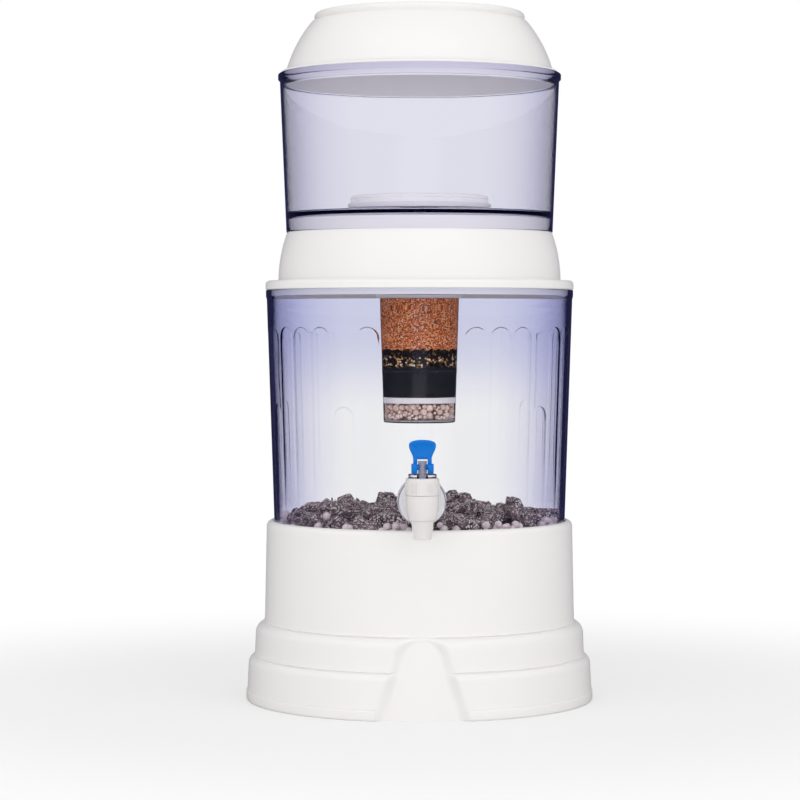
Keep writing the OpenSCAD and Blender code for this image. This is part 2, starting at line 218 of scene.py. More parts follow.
def carved(body: Mesh, steps: Sequence[tuple[str, Mesh]]) -> Mesh:
    """Joins closed forms to a body, or takes them away from it, along exact cuts.

    Args:
        body: the closed mesh to work on, which is freed.
        steps: UNION or DIFFERENCE with each closed form, which is freed too.

    Returns:
        The carved mesh.
    """
    for operation, form in steps:
        whole, tool = [placed("carving", stored(bm, "carving")) for bm in (body, form)]
        cut = whole.modifiers.new("cut", "BOOLEAN")
        cut.operation = operation
        cut.object = tool
        cut.solver = "EXACT"
        result = bpy.data.meshes.new_from_object(whole.evaluated_get(bpy.context.evaluated_depsgraph_get()))
        body = bmesh.new()
        body.from_mesh(result)
        for mesh in (whole.data, tool.data, result):
            bpy.data.meshes.remove(mesh)
    return body


def piece(bm: Mesh, name: str, body: Body, finish: "Finish", node: str, crease: float = 35.0) -> None:
    """Turns a mesh in millimetres into a finished piece that rides on its body.

    Args:
        bm: the mesh, which is freed.
        name: the piece's name.
        body: the body it rides on.
        finish: its finish, which knows the record's material slot.
        node: the solid it stands for.
        crease: edges sharper than this angle stay sharp.
    """
    mesh = stored(moved(bm, Matrix.Scale(MM, 4)), name)
    mesh.shade_smooth()
    mesh.set_sharp_from_angle(angle=math.radians(crease))
    mesh.materials.append(finish.material())
    obj = placed(name, mesh)
    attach(obj, body.value)
    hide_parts(node)
    LOG.info("%s: %d faces, rides on %s", name, len(mesh.polygons), body.value)


# ---- finishes ---------------------------------------------------------------------------------


def linear(code: str) -> tuple[float, ...]:
    """Turns an sRGB hex code such as F2F0EC into linear red, green, blue and alpha."""
    parts = [int(code[i : i + 2], 16) / 255 for i in (0, 2, 4)]
    return *(c / 12.92 if c <= 0.04045 else ((c + 0.055) / 1.055) ** 2.4 for c in parts), 1.0


def per_metre(mm: float) -> float:
    """Scale of a pattern whose cells are this many millimetres wide."""
    return 1.0 / (mm * MM)


def add(tree: Tree, kind: str, links: Links | None = None, **settings: Any) -> Node:
    """Adds a node to a tree with its settings and links.

    Args:
        tree: the node tree.
        kind: the node's type, without its ShaderNode prefix.
        links: what each input gets: a value, a colour's hex code, an output, or a node for its first output.
        settings: attributes to set on the node.

    Returns:
        The new node.
    """
    made = tree.nodes.new("ShaderNode" + kind)
    for key, value in settings.items():
        setattr(made, key, value)
    for key, value in (links or {}).items():
        if isinstance(value, Node):
            value = next(output for output in value.outputs if output.enabled)
        if isinstance(value, Socket):
            tree.links.new(value, made.inputs[key])
        else:
            made.inputs[key].default_value = linear(value) if isinstance(value, str) else value
    return made


def ramp(tree: Tree, factor: Node | Socket, stops: dict[float, str]) -> Node:
    """Maps a value to colours.

    Args:
        tree: the node tree.
        factor: what gives the value, from 0 to 1.
        stops: positions with their sRGB hex codes.

    Returns:
        The node that gives the colour.
    """
    made = add(tree, "ValToRGB", {"Fac": factor})
    elements = made.color_ramp.elements
    for place, (at, code) in enumerate(sorted(stops.items())):
        stop = elements[place] if place < 2 else elements.new(at)
        stop.position = at
        stop.color = linear(code)
    return made


@dataclass(frozen=True)
class Finish:
    """A named finish for one of the record's material slots; each kind builds its own nodes."""

    name: str
    slot: str = ""

    def material(self) -> bpy.types.Material:
        """The Blender material, made once."""
        made = bpy.data.materials.get(self.name)
        if made is None:
            made = bpy.data.materials.new(self.name)
            made.use_nodes = True
            tree = made.node_tree
            tree.nodes.clear()
            add(tree, "OutputMaterial", self.build(tree, add(tree, "TexCoord").outputs["Object"]))
        return made

    def build(self, tree: Tree, place: Socket) -> Links:
        """Adds the finish's nodes.

        Args:
            tree: the material's node tree.
            place: each point's place on the object, in metres.

        Returns:
            What the material's output gets.
        """
        raise NotImplementedError


@dataclass(frozen=True, kw_only=True)
class Moulded(Finish):
    """Injection-moulded thermoplastic: even colour, faint flow marks and a fine eroded-mould grain."""

    colour: str
    shade: str
    roughness: float = 0.3
    ior: float = 1.5
    gloss: float = 0.5
    grain_mm: float = 0.5
    grain_depth: float = 0.02
    scatter: float = 0.0

    def build(self, tree: Tree, place: Socket) -> Links:
        """Colour drifts slowly, gloss varies a little, and the grain is a bump."""
        drift = add(tree, "TexNoise", {"Vector": place, "Scale": 14.0, "Detail": 3.0, "Roughness": 0.55})
        tone = add(tree, "Mix", {0: drift, 6: self.colour, 7: self.shade}, data_type="RGBA")
        wear = add(tree, "MapRange", {"Value": drift, "To Min": self.roughness - 0.04,
                                      "To Max": self.roughness + 0.05})
        grain = add(tree, "TexNoise", {"Vector": place, "Scale": per_metre(self.grain_mm), "Detail": 2.0})
        bump = add(tree, "Bump", {"Height": grain, "Strength": 0.12, "Distance": self.grain_depth * MM})
        return {"Surface": add(tree, "BsdfPrincipled", {
            "Base Color": tone, "Roughness": wear, "IOR": self.ior, "Specular IOR Level": self.gloss,
            "Normal": bump, "Subsurface Weight": self.scatter, "Subsurface Radius": (1.0, 0.95, 0.85),
            "Subsurface Scale": 0.002})}


@dataclass(frozen=True, kw_only=True)
class ClearTinted(Finish):
    """Polished acrylic with a trace of blue-violet dye, pale face on, and painted shade that turns it deep
    blue along its edges.
    """

    dye: str
    dye_density: float
    face: str = "FFFFFF"  # where the wall is seen square on
    side: str = "E8E8EE"  # where it is seen at a slant: partly the dye's longer path, partly painted shade
    verge: str = "FFFFFF"  # beside the painted edge shade
    edge_shade: str = "0A0830"  # painted shade where it is seen edge on
    edge_shade_from: float = 0.84
    edge_shade_full: float = 0.92
    rim: str = "FFFFFF"  # painted collar shade, growing towards the top between the two heights in metres
    collar_shade_low: float = 0.235
    collar_shade_high: float = 0.312
    roughness: float = 0.03
    ior: float = 1.49
    wave_mm: float = 30.0
    through: str = "FEFEFF"

    def build(self, tree: Tree, place: Socket) -> Links:
        """Refracts what is seen through it, lets lamp light pass, and absorbs with depth."""
        wave = add(tree, "TexNoise", {"Vector": place, "Scale": per_metre(self.wave_mm), "Detail": 1.0})
        bump = add(tree, "Bump", {"Height": wave, "Strength": 0.25, "Distance": 0.6 * MM})
        wear = add(tree, "TexNoise", {"Vector": place, "Scale": 60.0, "Detail": 4.0})
        gloss = add(tree, "MapRange", {"Value": wear, "From Min": 0.35, "From Max": 0.7,
                                       "To Min": self.roughness * 0.5, "To Max": self.roughness * 1.5})
        # the painted dark edge shade belongs to upright walls: level faces, such as a floor, stop short of it
        level = add(tree, "SeparateXYZ", {"Vector": add(tree, "NewGeometry").outputs["Normal"]})
        steep = add(tree, "Math", {0: level.outputs["Z"]}, operation="ABSOLUTE")
        upright = add(tree, "MapRange", {"Value": steep, "From Min": 0.6, "From Max": 0.9, "To Min": 1.0,
                                         "To Max": 0.6})
        # painted shade: the tint deepens with the slant and turns dark navy edge on, in place of the dark
        # surroundings that the edges mirror
        lean = add(tree, "LayerWeight", {"Blend": 0.5}).outputs["Facing"]
        dye_and_edge_shade = ramp(tree, add(tree, "Math", {0: lean, 1: upright}, operation="MULTIPLY"), {
            0.13: self.face, 0.5: self.side, 0.6: self.side, self.edge_shade_from - 0.1: self.verge,
            self.edge_shade_from: self.verge, self.edge_shade_full: self.edge_shade})
        # painted shade: the tint deepens towards the top, where the collar above the lower tank shades it
        height = add(tree, "SeparateXYZ", {"Vector": place}).outputs["Z"]
        collar_shade = add(tree, "MapRange", {"Value": height, "From Min": self.collar_shade_low,
                                         "From Max": self.collar_shade_high}, interpolation_type="SMOOTHSTEP")
        tint = add(tree, "Mix", {0: collar_shade, 6: dye_and_edge_shade, 7: self.rim}, data_type="RGBA",
                   blend_type="MULTIPLY")
        glass = add(tree, "BsdfPrincipled", {"Base Color": tint, "Transmission Weight": 1.0, "IOR": self.ior,
                                             "Roughness": gloss, "Normal": bump})
        path = add(tree, "LightPath").outputs
        soft = add(tree, "Math", {0: path["Is Shadow Ray"], 1: path["Is Diffuse Ray"]}, operation="MAXIMUM")
        clear = add(tree, "BsdfTransparent", {"Color": self.through})
        return {"Surface": add(tree, "MixShader", {0: soft, 1: glass, 2: clear}),
                "Volume": add(tree, "VolumeAbsorption", {"Color": self.dye, "Density": self.dye_density})}


@dataclass(frozen=True, kw_only=True)
class Silicone(Finish):
    """Cast silicone rubber: milky, soft gloss, light passes through its thin edges."""

    colour: str
    shade: str
    through: float
    ior: float = 1.41

    def build(self, tree: Tree, place: Socket) -> Links:
        """Part clear, part milky, with a soft ripple."""
        ripple = add(tree, "TexNoise", {"Vector": place, "Scale": 500.0, "Detail": 2.0})
        bump = add(tree, "Bump", {"Height": ripple, "Strength": 0.2, "Distance": 0.05 * MM})
        tone = add(tree, "Mix", {0: ripple, 6: self.colour, 7: self.shade}, data_type="RGBA")
        return {"Surface": add(tree, "BsdfPrincipled", {
            "Base Color": tone, "Roughness": 0.35, "IOR": self.ior, "Transmission Weight": self.through,
            "Normal": bump})}


@dataclass(frozen=True)
class Speckled(Finish):
    """Crushed volcanic stone: dark ground with pale and rust flecks, broken faces with a gritty surface."""

    ground: str = "6C5C64"
    deep: str = "221A20"
    fleck: str = "DACECC"
    rust: str = "846C72"
    pale: str = "C4B4B0"

    def build(self, tree: Tree, place: Socket) -> Links:
        """Patches of about 9 mm, flecks of about 1 mm, and a gritty bump."""
        patch = add(tree, "TexNoise", {"Vector": place, "Scale": 110.0, "Detail": 6.0, "Roughness": 0.65})
        base = ramp(tree, patch, {0.36: self.deep, 0.5: self.ground, 0.62: self.rust, 0.72: self.pale})
        cells = add(tree, "TexVoronoi", {"Vector": place, "Scale": 950.0})
        pick = add(tree, "SeparateColor", {"Color": cells.outputs["Color"]})
        keep = add(tree, "MapRange", {"Value": pick, "From Min": 0.74, "From Max": 0.82})
        tone = add(tree, "Mix", {0: keep, 6: base, 7: self.fleck}, data_type="RGBA")
        grit = add(tree, "TexNoise", {"Vector": place, "Scale": 700.0, "Detail": 5.0, "Roughness": 0.7})
        bump = add(tree, "Bump", {"Height": grit, "Strength": 0.9, "Distance": 0.7 * MM})
        return {"Surface": add(tree, "BsdfPrincipled", {
            "Base Color": tone, "Roughness": 0.72, "IOR": 1.55, "Normal": bump})}


@dataclass(frozen=True, kw_only=True)
class Fired(Finish):
    """Fired ceramic, unglazed: dry, very fine grained, each bead a slightly different tone."""

    pale: str
    dark: str
    tone_mm: float
    grain_mm: float = 0.4
    depth: float = 0.05

    def build(self, tree: Tree, place: Socket) -> Links:
        """Tone changes from bead to bead, with a fine dusty grain."""
        cells = add(tree, "TexVoronoi", {"Vector": place, "Scale": per_metre(self.tone_mm)})
        pick = add(tree, "SeparateColor", {"Color": cells.outputs["Color"]})
        grain = add(tree, "TexNoise", {"Vector": place, "Scale": per_metre(self.grain_mm), "Detail": 3.0})
        bump = add(tree, "Bump", {"Height": grain, "Strength": 0.5, "Distance": self.depth * MM})
        return {"Surface": add(tree, "BsdfPrincipled", {
            "Base Color": ramp(tree, pick, {0.0: self.dark, 1.0: self.pale}), "Roughness": 0.62, "IOR": 1.5,
            "Normal": bump})}


@dataclass(frozen=True, kw_only=True)
class Granular(Finish):
    """A packed layer of loose granules: each grain its own colour, with painted shade in the crevices between
    them.
    """

    grain_mm: float
    stops: tuple[tuple[float, str], ...]
    # painted shade in the crevices between grains
    gap: str
    roughness: float = 0.6
    depth: float = 0.6
    dark_above: float = 1.0

    def build(self, tree: Tree, place: Socket) -> Links:
        """Cells of the grain's size, domed by their distance to the cell centre."""
        cells = add(tree, "TexVoronoi", {"Vector": place, "Scale": per_metre(self.grain_mm)})
        pick = add(tree, "SeparateColor", {"Color": cells.outputs["Color"]})
        height = add(tree, "SeparateXYZ", {"Vector": place}).outputs["Z"]
        settled = add(tree, "MapRange", {
            "Value": height, "From Min": self.dark_above, "From Max": self.dark_above + 1.6 * MM,
            "To Min": 1.0, "To Max": 0.66})
        grade = add(tree, "Math", {0: pick, 1: settled}, operation="MULTIPLY")
        # painted shade: each cell darkens towards its edge, to the colour of the crevices
        crevice_shade = add(tree, "MapRange", {"Value": cells, "From Min": 0.42, "From Max": 0.72})
        grains = ramp(tree, grade, dict(self.stops))
        tone = add(tree, "Mix", {0: crevice_shade, 6: grains, 7: self.gap}, data_type="RGBA")
        dome = add(tree, "Math", {0: 1.0, 1: cells}, operation="SUBTRACT")
        bump = add(tree, "Bump", {"Height": dome, "Strength": 0.8, "Distance": self.depth * MM})
        return {"Surface": add(tree, "BsdfPrincipled", {
            "Base Color": tone, "Roughness": self.roughness, "IOR": 1.5, "Normal": bump})}


@dataclass(frozen=True, kw_only=True)
class Felt(Finish):
    """Needled polyester felt: matted fibres, no gloss, a soft halo at grazing angles."""

    colour: str
    shade: str

    def build(self, tree: Tree, place: Socket) -> Links:
        """Stretched noise for the matted fibres."""
        lie = add(tree, "Mapping", {"Vector": place, "Scale": (1.0, 1.0, 2.6)})
        fibre = add(tree, "TexNoise", {"Vector": lie, "Scale": 900.0, "Detail": 5.0, "Roughness": 0.7})
        tone = ramp(tree, fibre, {0.35: self.shade, 0.62: self.colour})
        bump = add(tree, "Bump", {"Height": fibre, "Strength": 0.8, "Distance": 0.3 * MM})
        return {"Surface": add(tree, "BsdfPrincipled", {
            "Base Color": tone, "Roughness": 0.95, "Sheen Weight": 0.3, "Normal": bump})}


@dataclass(frozen=True)
class Drawn(Finish):
    """Drawn stainless wire: bright, with fine lines left by the die."""

    def build(self, tree: Tree, place: Socket) -> Links:
        """Metal with streaked gloss."""
        lie = add(tree, "Mapping", {"Vector": place, "Scale": (1.0, 1.0, 6.0)})
        line = add(tree, "TexNoise", {"Vector": lie, "Scale": 900.0, "Detail": 3.0})
        gloss = add(tree, "MapRange", {"Value": line, "To Min": 0.16, "To Max": 0.36})
        tone = ramp(tree, line, {0.3: "A7A8AA", 0.7: "C9CACC"})
        return {"Surface": add(tree, "BsdfPrincipled", {
            "Base Color": tone, "Metallic": 1.0, "Roughness": gloss})}


WHITE_ABS = Moulded("white_moulded_abs", "white_abs", colour="EFEDEC", shade="EBE9E7")
WHITE_TAP = Moulded("white_moulded_acetal", "white_tap", colour="E3DFDE", shade="DAD6D5", roughness=0.26,
                    scatter=0.06)
BLUE_PLASTIC = Moulded("blue_moulded_polypropylene", "blue_plastic", colour="067AD6", shade="036AC4",
                       roughness=0.34, gloss=0.2)
GREY_PLASTIC = Moulded("grey_moulded_nylon", colour="A3A3B0", shade="7F7F90")
BLACK_RUBBER = Moulded("black_nitrile_rubber", colour="16161A", shade="202024", roughness=0.6,
                       grain_depth=0.05)
GREY_RUBBER = Moulded("grey_moulded_rubber", colour="8C8C94", shade="7C7C84", roughness=0.6,
                      grain_depth=0.05)
# the side, verge and edge-on colours paint shade into the clear walls
CLEAR = ClearTinted("clear_tinted_acrylic", "clear_tint", dye="A8A4E4", dye_density=44.0, face="FBFBFE",
                    side="E9E8F4")
# the tank's rim colour is painted shade of the collar above it
CLEAR_TANK = ClearTinted("clear_violet_acrylic", "clear_tint", dye="B6C0F2", dye_density=11.0, side="DCDCF4",
                         verge="DCDCF4", rim="ECEDF9", edge_shade_from=0.71, edge_shade_full=0.84)
CLEAR_CUP = ClearTinted("clear_cup_acrylic", "clear_tint", dye="C8CCEE", dye_density=10.0)
SILICONE = Silicone("cast_silicone", colour="F4F2F8", shade="E4E2EC", through=0.1)
STEM_PLASTIC = Silicone("translucent_grey_acetal", "grey_plastic", colour="C0C0CC", shade="9090A0",
                        through=0.15, ior=1.48)
STONE = Speckled("crushed_volcanic_stone", "dark_stone")
BEAD = Fired("fired_mineral_beads", "pale_bead", pale="E8DADC", dark="C6B6BA", tone_mm=5.0)
BALL = Fired("fired_pink_balls", "pink_bead", pale="FAE6DC", dark="D4B2A6", tone_mm=4.0)
FILTER_CERAMIC = Fired("pressed_filter_ceramic", "filter_ceramic", pale="FFFCFA", dark="FAF7F5", tone_mm=40.0,
                       depth=0.02)
# the gap colours are painted shade in the crevices between grains
CLAY = Granular("fired_clay_granules", "clay_granules", grain_mm=1.1, gap="8E3C12", depth=0.3, stops=(
    (0.0, "6E2A0A"), (0.3, "E87028"), (0.6, "FF9850"), (0.85, "FFB878"), (1.0, "FFDCB8")))
ZEOLITE = Granular("zeolite_granules", "speckled_granules", grain_mm=1.6, gap="050404", dark_above=0.2865,
                   stops=((0.0, "0A0808"), (0.55, "1A1410"), (0.64, "9A6A30"), (0.8, "F0B868"),
                          (1.0, "FFF0D8")))
CARBON = Granular("carbon_granules", "carbon_granules", grain_mm=1.1, gap="020203", roughness=0.4, stops=(
    (0.0, "050507"), (0.84, "0C0C10"), (1.0, "8C8888")))
WHITE_FELT = Felt("white_needled_felt", "white_felt", colour="F8F4F5", shade="E2DADD")
GREY_FELT = Felt("grey_needled_felt", "grey_felt", colour="A8A4B4", shade="8C889A")
MESH = Felt("dark_woven_mesh", "dark_mesh", colour="C4BCC0", shade="7A7276")
STEEL = Drawn("drawn_stainless_wire")

# solids that stay as they are and only get a finish
CARRIED = {
    "prefilter_gasket": GREY_RUBBER, "prefilter_stem": GREY_PLASTIC, "prefilter_wing_nut": GREY_PLASTIC,
    "cartridge_cap": WHITE_ABS, "cartridge_oring": BLACK_RUBBER, "tap_outer_washer": SILICONE,
    "tap_inner_washer": GREY_RUBBER, "tap_nut": WHITE_TAP, "tap_spring": STEEL, "tap_plunger": SILICONE,
    "tap_pin": STEEL,
}


# ---- base -------------------------------------------------------------------------------------


@dataclass
class BaseStand:
    """White stepped base with an arched niche at its front."""

    foot_r: float = 145.5
    wall_r: float = 130.0
    height: float = 150.0
    seat_z: float = 138.0
    mouth_r: float = 122.9
    ring1_top: float = 65.5
    ring2_top: float = 38.0
    lip_top: float = 8.5
    niche_r: float = 20.0
    niche_z: float = 46.0  # centre of the niche's arch
    knee_half: float = 26.5  # half of the niche's width at the bend in its sides
    knee_z: float = 30.0
    niche_foot_half: float = 36.0
    niche_soft: float = 4.5
    rib_count: int = 8
    rib_size: Point = (106.5, 2.4)  # length and thickness
    rib_middle: float = 71.25
    rib_height: float = 18.1
    hub: Point = (17.0, 20.0)  # inner and outer radius
    hub_steps: int = 48
    turn_steps: int = 720

    def outline(self) -> Profile:
        """The outside from the seat over the rim and down to the floor."""
        ring2 = self.foot_r - 2.0
        ring1 = self.foot_r - 8.0
        rows = [(0.0, self.seat_z), (self.mouth_r, self.seat_z), (self.mouth_r, self.height - 1.4)]
        rows += arc((self.mouth_r + 0.8, self.height - 0.8), 0.8, 180, 90, 4)
        rows += arc((self.wall_r - 6.7, self.height - 5.0), 5.0, 84, 0, 8)
        rows += rise((self.wall_r - 1.7, self.height - 8), (self.wall_r - 0.2, self.ring1_top + 4), 8)
        rows += offset(self.wall_r, self.ring1_top, [(-0.1, 3.0), (0.1, 1.2), (0.8, 0.2)])
        rows += arc((ring1 - 9.0, self.ring1_top - 9.6), 9.0, 80, 0, 12)
        rows += rise((ring1 + 0.1, self.ring1_top - 12), (ring1 + 0.6, self.ring2_top + 3), 6)
        rows += offset(ring1, self.ring2_top, [(0.7, 1.6), (1.3, 0.3)])
        rows += arc((ring2 - 7.0, self.ring2_top - 7.6), 7.0, 78, 0, 12)
        rows += rise((ring2 + 0.1, self.ring2_top - 10), (ring2 + 1.0, self.lip_top + 1.6), 6)
        rows += offset(ring2, self.lip_top, [(1.05, 0.9), (1.2, 0.3)])
        rows += arc((self.foot_r - 1.3, self.lip_top - 1.3), 1.3, 75, 0, 5)
        rows += [(self.foot_r, self.lip_top - 4.0)]
        return rows + offset(self.foot_r, 0.0, [(0.0, 2.0), (-0.3, 0.6), (-1.0, 0.0)])

    def core(self, z: float) -> float:
        """Radius of the plain wall that the niche carries down to the floor."""
        return self.wall_r + (self.foot_r - 6.0 - self.wall_r) * (self.ring1_top - z) / self.ring1_top

    def niche(self, x: float, z: float) -> float:
        """How far a point of the front is inside the niche.

        Args:
            x: distance from the middle of the front.
            z: height.

        Returns:
            1 well inside, 0 well outside, smooth between.
        """
        if z >= self.niche_z:
            outside = math.hypot(x, z - self.niche_z) - self.niche_r
        elif z >= self.knee_z:
            share = (self.niche_z - z) / (self.niche_z - self.knee_z)
            outside = abs(x) - self.niche_r - (self.knee_half - self.niche_r) * share
        else:
            share = (self.knee_z - z) / self.knee_z
            outside = abs(x) - self.knee_half - (self.niche_foot_half - self.knee_half) * share
        return smooth(0.5 - outside / (2 * self.niche_soft))

    def build(self) -> None:
        """Turns the shell, sinks the niche, and adds the ribs and the hub under the seat."""
        under = [(self.foot_r - 6.0, 0.0), (self.foot_r - 9.0, 1.0), (self.wall_r - 3.0, self.ring1_top),
                 (self.wall_r - 5.4, self.seat_z - 3.0), (0.0, self.seat_z - 3.0)]
        shell = spun(self.outline() + under, self.turn_steps)
        for vert in shell.verts:
            r = math.hypot(vert.co.x, vert.co.y)
            core = self.core(vert.co.z)
            if vert.co.y < 0 and vert.co.z < self.ring1_top + 6 and r > core:
                factor = (r + (core - r) * self.niche(vert.co.x, vert.co.z)) / r
                vert.co.x *= factor
                vert.co.y *= factor
        high = self.seat_z - 2.9
        low = high - self.rib_height
        inner, outer = self.hub
        parts = [shell, spun([(inner, low), (outer, low), (outer, high), (inner, high)], self.hub_steps)]
        for i in range(self.rib_count):
            middle = (self.rib_middle, 0.0, high - self.rib_height / 2)
            rib = block((*self.rib_size, self.rib_height), middle, 0.3)
            parts.append(moved(rib, Matrix.Rotation(FULL_TURN * (i + 0.5) / self.rib_count, 4, "Z")))
        piece(joined(parts), "base_shell", Body.BASE, WHITE_ABS, "base_stand", 40)


# ---- lower tank -------------------------------------------------------------------------------


@dataclass(frozen=True)
class Load:
    """Stones that are tipped into the tank together."""

    count: int
    sizes: Point  # least and greatest radius
    reach: float  # how far out they may lie
    inset: float  # share of its radius that a stone stays inside that
    limit: float  # the greatest height of a stone's centre
    tilt: float  # the greatest tilt, in radians


@dataclass
class LowerTank:
    """Clear fluted tank with stones and beads on its floor."""

    floor_z: float = 138.3
    floor_top: float = 141.5
    band_z: float = 335.0
    rim_z: float = 342.7
    rim_step: float = 0.7
    top_r: float = 128.0
    draft: float = 6.0 / 185.0
    wall: float = 3.6
    thin_wall: float = 2.6
    taper_low: float = 307.0
    taper_high: float = 327.0
    flute_count: int = 36
    flute_half: float = 10.2
    flute_dish: float = 0.2
    flute_lip: float = 0.4
    lip_width: float = 0.9
    side_lip: float = 0.22
    side_lip_width: float = 2.4
    faint_share: float = 0.15  # what the flutes next to the plain front keep of their depth below the arch
    crest_below: float = 4.0  # from this far below an arch's centre the lip deepens
    crest_span: float = 14.0  # the height over which it does so
    flute_foot_z: float = 143.5
    foot_share: float = 0.2
    fade_low: float = 166.0
    fade_high: float = 214.0
    flute_top_z: float = 312.0
    short_top_z: float = 248.0
    short_every: int = 4
    mean_r: float = 124.0
    column_shares: tuple[float, ...] = (0.25, 0.5, 0.69, 0.82, 0.91, 0.94, 0.97, 0.99, 1.0)  # of flute_half
    plain_rows: tuple[float, ...] = (143.0, 144.0, 155.0, 166.0, 172.0, 182.0, 192.0, 202.0, 214.0)
    # height above an arch's centre and how fully the row there follows the arch
    bends: tuple[Point, ...] = (
        (-14.0, 0.0), (-7.0, 0.45), (-2.4, 1.0), (-1.2, 1.0), (-0.9, 1.0), (-0.6, 1.0), (-0.3, 1.0),
        (0.0, 1.0), (0.4, 1.0), (2.5, 0.85), (12.5, 0.0))
    inner_rows: tuple[float, ...] = (
        334.4, 328.0, 327.3, 326.7, 326.0, 308.0, 307.3, 306.7, 306.0, 290.0, 260.0, 230.0, 200.0, 175.0,
        155.0, 148.0, 146.4)
    corner_z: float = 145.5
    pad_y: float = 124.0
    inner_pad_y: float = 117.5
    loads: tuple[Load, ...] = (Load(84, (10.5, 15.5), 119.0, 0.8, 157.0, 0.7),
                               Load(60, (9.5, 13.0), 84.0, 0.0, 163.0, 0.0))
    stone_corners: int = 11
    stone_stretch: tuple[Point, ...] = ((1.0, 1.35), (0.85, 1.05), (0.66, 0.86))  # least and most, by axis
    stone_jitter: Point = (0.92, 1.08)
    stone_wear: float = 0.03  # width of a stone's worn edges as a share of its radius
    stone_grip: float = 0.72  # share of their radii at which stones touch
    stone_tries: int = 14
    stone_gap: float = 1.0  # least room between a stone and the wall
    stone_foot: float = 3.6  # least height of a stone above the tank's underside
    bed_lift: float = 3.4
    bed_z: float = 150.0
    bead_count: int = 190
    bead_radii: tuple[float, ...] = (2.6, 3.0, 3.4, 3.9)
    belt_share: float = 0.8  # share of the beads that lie along the wall
    belt_width: float = 5.0
    bead_near: float = 50.0
    bead_gap: float = 0.6  # between a bead and the wall
    bead_limit: float = 153.5
    high_bead_limit: float = 160.0
    high_every: int = 6  # one bead in so many may lie up to the high limit
    bead_grip: float = 0.86
    bead_tries: int = 9
    nut_r: float = 16.0  # room kept for the tap's nut: half its width, its inner face and its depth below
    nut_y: float = -101.0
    nut_below: float = 15.5
    seed: int = 11
    heap: list[tuple[Vector, float]] = field(default_factory=list)

    def radius(self, z: float) -> float:
        """Outer radius of the tank's wall at height z."""
        return self.top_r - (self.band_z - z) * self.draft

    def inner_radius(self, z: float) -> float:
        """Inner radius: the fluted part of the wall is thinner than the band above it."""
        share = min(1.0, max(0.0, (z - self.taper_low) / (self.taper_high - self.taper_low)))
        return self.radius(z) - self.thin_wall - (self.wall - self.thin_wall) * share

    def columns(self) -> list[tuple[int, float]]:
        """Flute number and distance from the flute's middle of each column, close along the flutes' edges."""
        side = [self.flute_half * share for share in self.column_shares]
        across = [-x for x in reversed(side)] + [0.0] + side + [math.pi * self.mean_r / self.flute_count]
        return [(k, x) for k in range(self.flute_count) for x in across]

    def arch(self, k: int) -> float:
        """Height of the centre of flute k's arch; the flutes behind the tap are left out."""
        if k in (0, 1, self.flute_count - 1):
            return 0.0
        return (self.flute_top_z if (k - 1) % self.short_every else self.short_top_z) - self.flute_half

    def sink(self, k: int, x: float, z: float) -> float:
        """How deep the wall is pressed in.

        Args:
            k: number of the flute.
            x: distance from its middle.
            z: height.

        Returns:
            The depth: a lip, soft at the sides and crisp over the arch, and a shallow dish inside it. The
            flutes next to the plain front show little more than their arches.
        """
        over = max(0.0, z - self.arch(k))
        inside = self.flute_half - math.hypot(x, over)
        if inside <= 0 or z < self.flute_foot_z:
            return 0.0
        crisp = over / math.hypot(x, over) if over else 0.0
        width = self.side_lip_width + (self.lip_width - self.side_lip_width) * crisp ** 0.5
        near = min(1.0, max(0.0, (z - self.arch(k) + self.crest_below) / self.crest_span))
        lip = self.side_lip + (self.flute_lip - self.side_lip) * smooth(near)
        climb = (z - self.fade_low) / (self.fade_high - self.fade_low)
        fade = self.foot_share + (1 - self.foot_share) * smooth(climb)
        if k in (2, self.flute_count - 2):
            fade *= self.faint_share + (1 - self.faint_share) * crisp * near
        dish = self.flute_dish * (1 - (1 - inside / self.flute_half) ** 2)
        return fade * (lip * smooth(inside / width) + dish)

    def outer_rows(self) -> list[tuple[float, float, float]]:
        """Rows of the fluted wall; those round an arch bend over it.

        Returns:
            Height beside the arch, height of the arch's centre, and how fully the row follows the arch.
        """
        rows = [(z, 0.0, 0.0) for z in self.plain_rows]
        for top, above in ((self.short_top_z, (262.0, 275.0)),
                           (self.flute_top_z, (318.0, 327.0, 334.4, self.band_z))):
            centre = top - self.flute_half
            rows += [(centre + lift, centre, share) for lift, share in self.bends]
            rows += [(z, 0.0, 0.0) for z in above]
        return rows

    def rim_and_inside(self) -> Profile:
        """The plain rest of the profile: over the rim, down the inner wall and across the floor."""
        rim = self.top_r + self.rim_step
        mouth = self.top_r - self.wall
        corner = self.inner_radius(self.corner_z)
        rows = offset(rim, self.band_z, [(-0.35, 1.0), (-0.1, 2.0), (0.0, 3.0)]) + [(rim, self.rim_z - 1.0)]
        rows += arc((rim - 0.9, self.rim_z - 0.9), 0.9, 0, 90, 4)
        rows += arc((mouth + 0.8, self.rim_z - 0.8), 0.8, 90, 180, 4)
        rows += [(mouth, self.rim_z - 1.2), (mouth, self.band_z + 0.4)]
        rows += [(self.inner_radius(z), z) for z in self.inner_rows]
        rows += arc((corner - 4, self.corner_z), 4, 0, -90, 10)
        return rows + [(corner - 5, self.floor_top), (corner - 12, self.floor_top), (0.0, self.floor_top)]

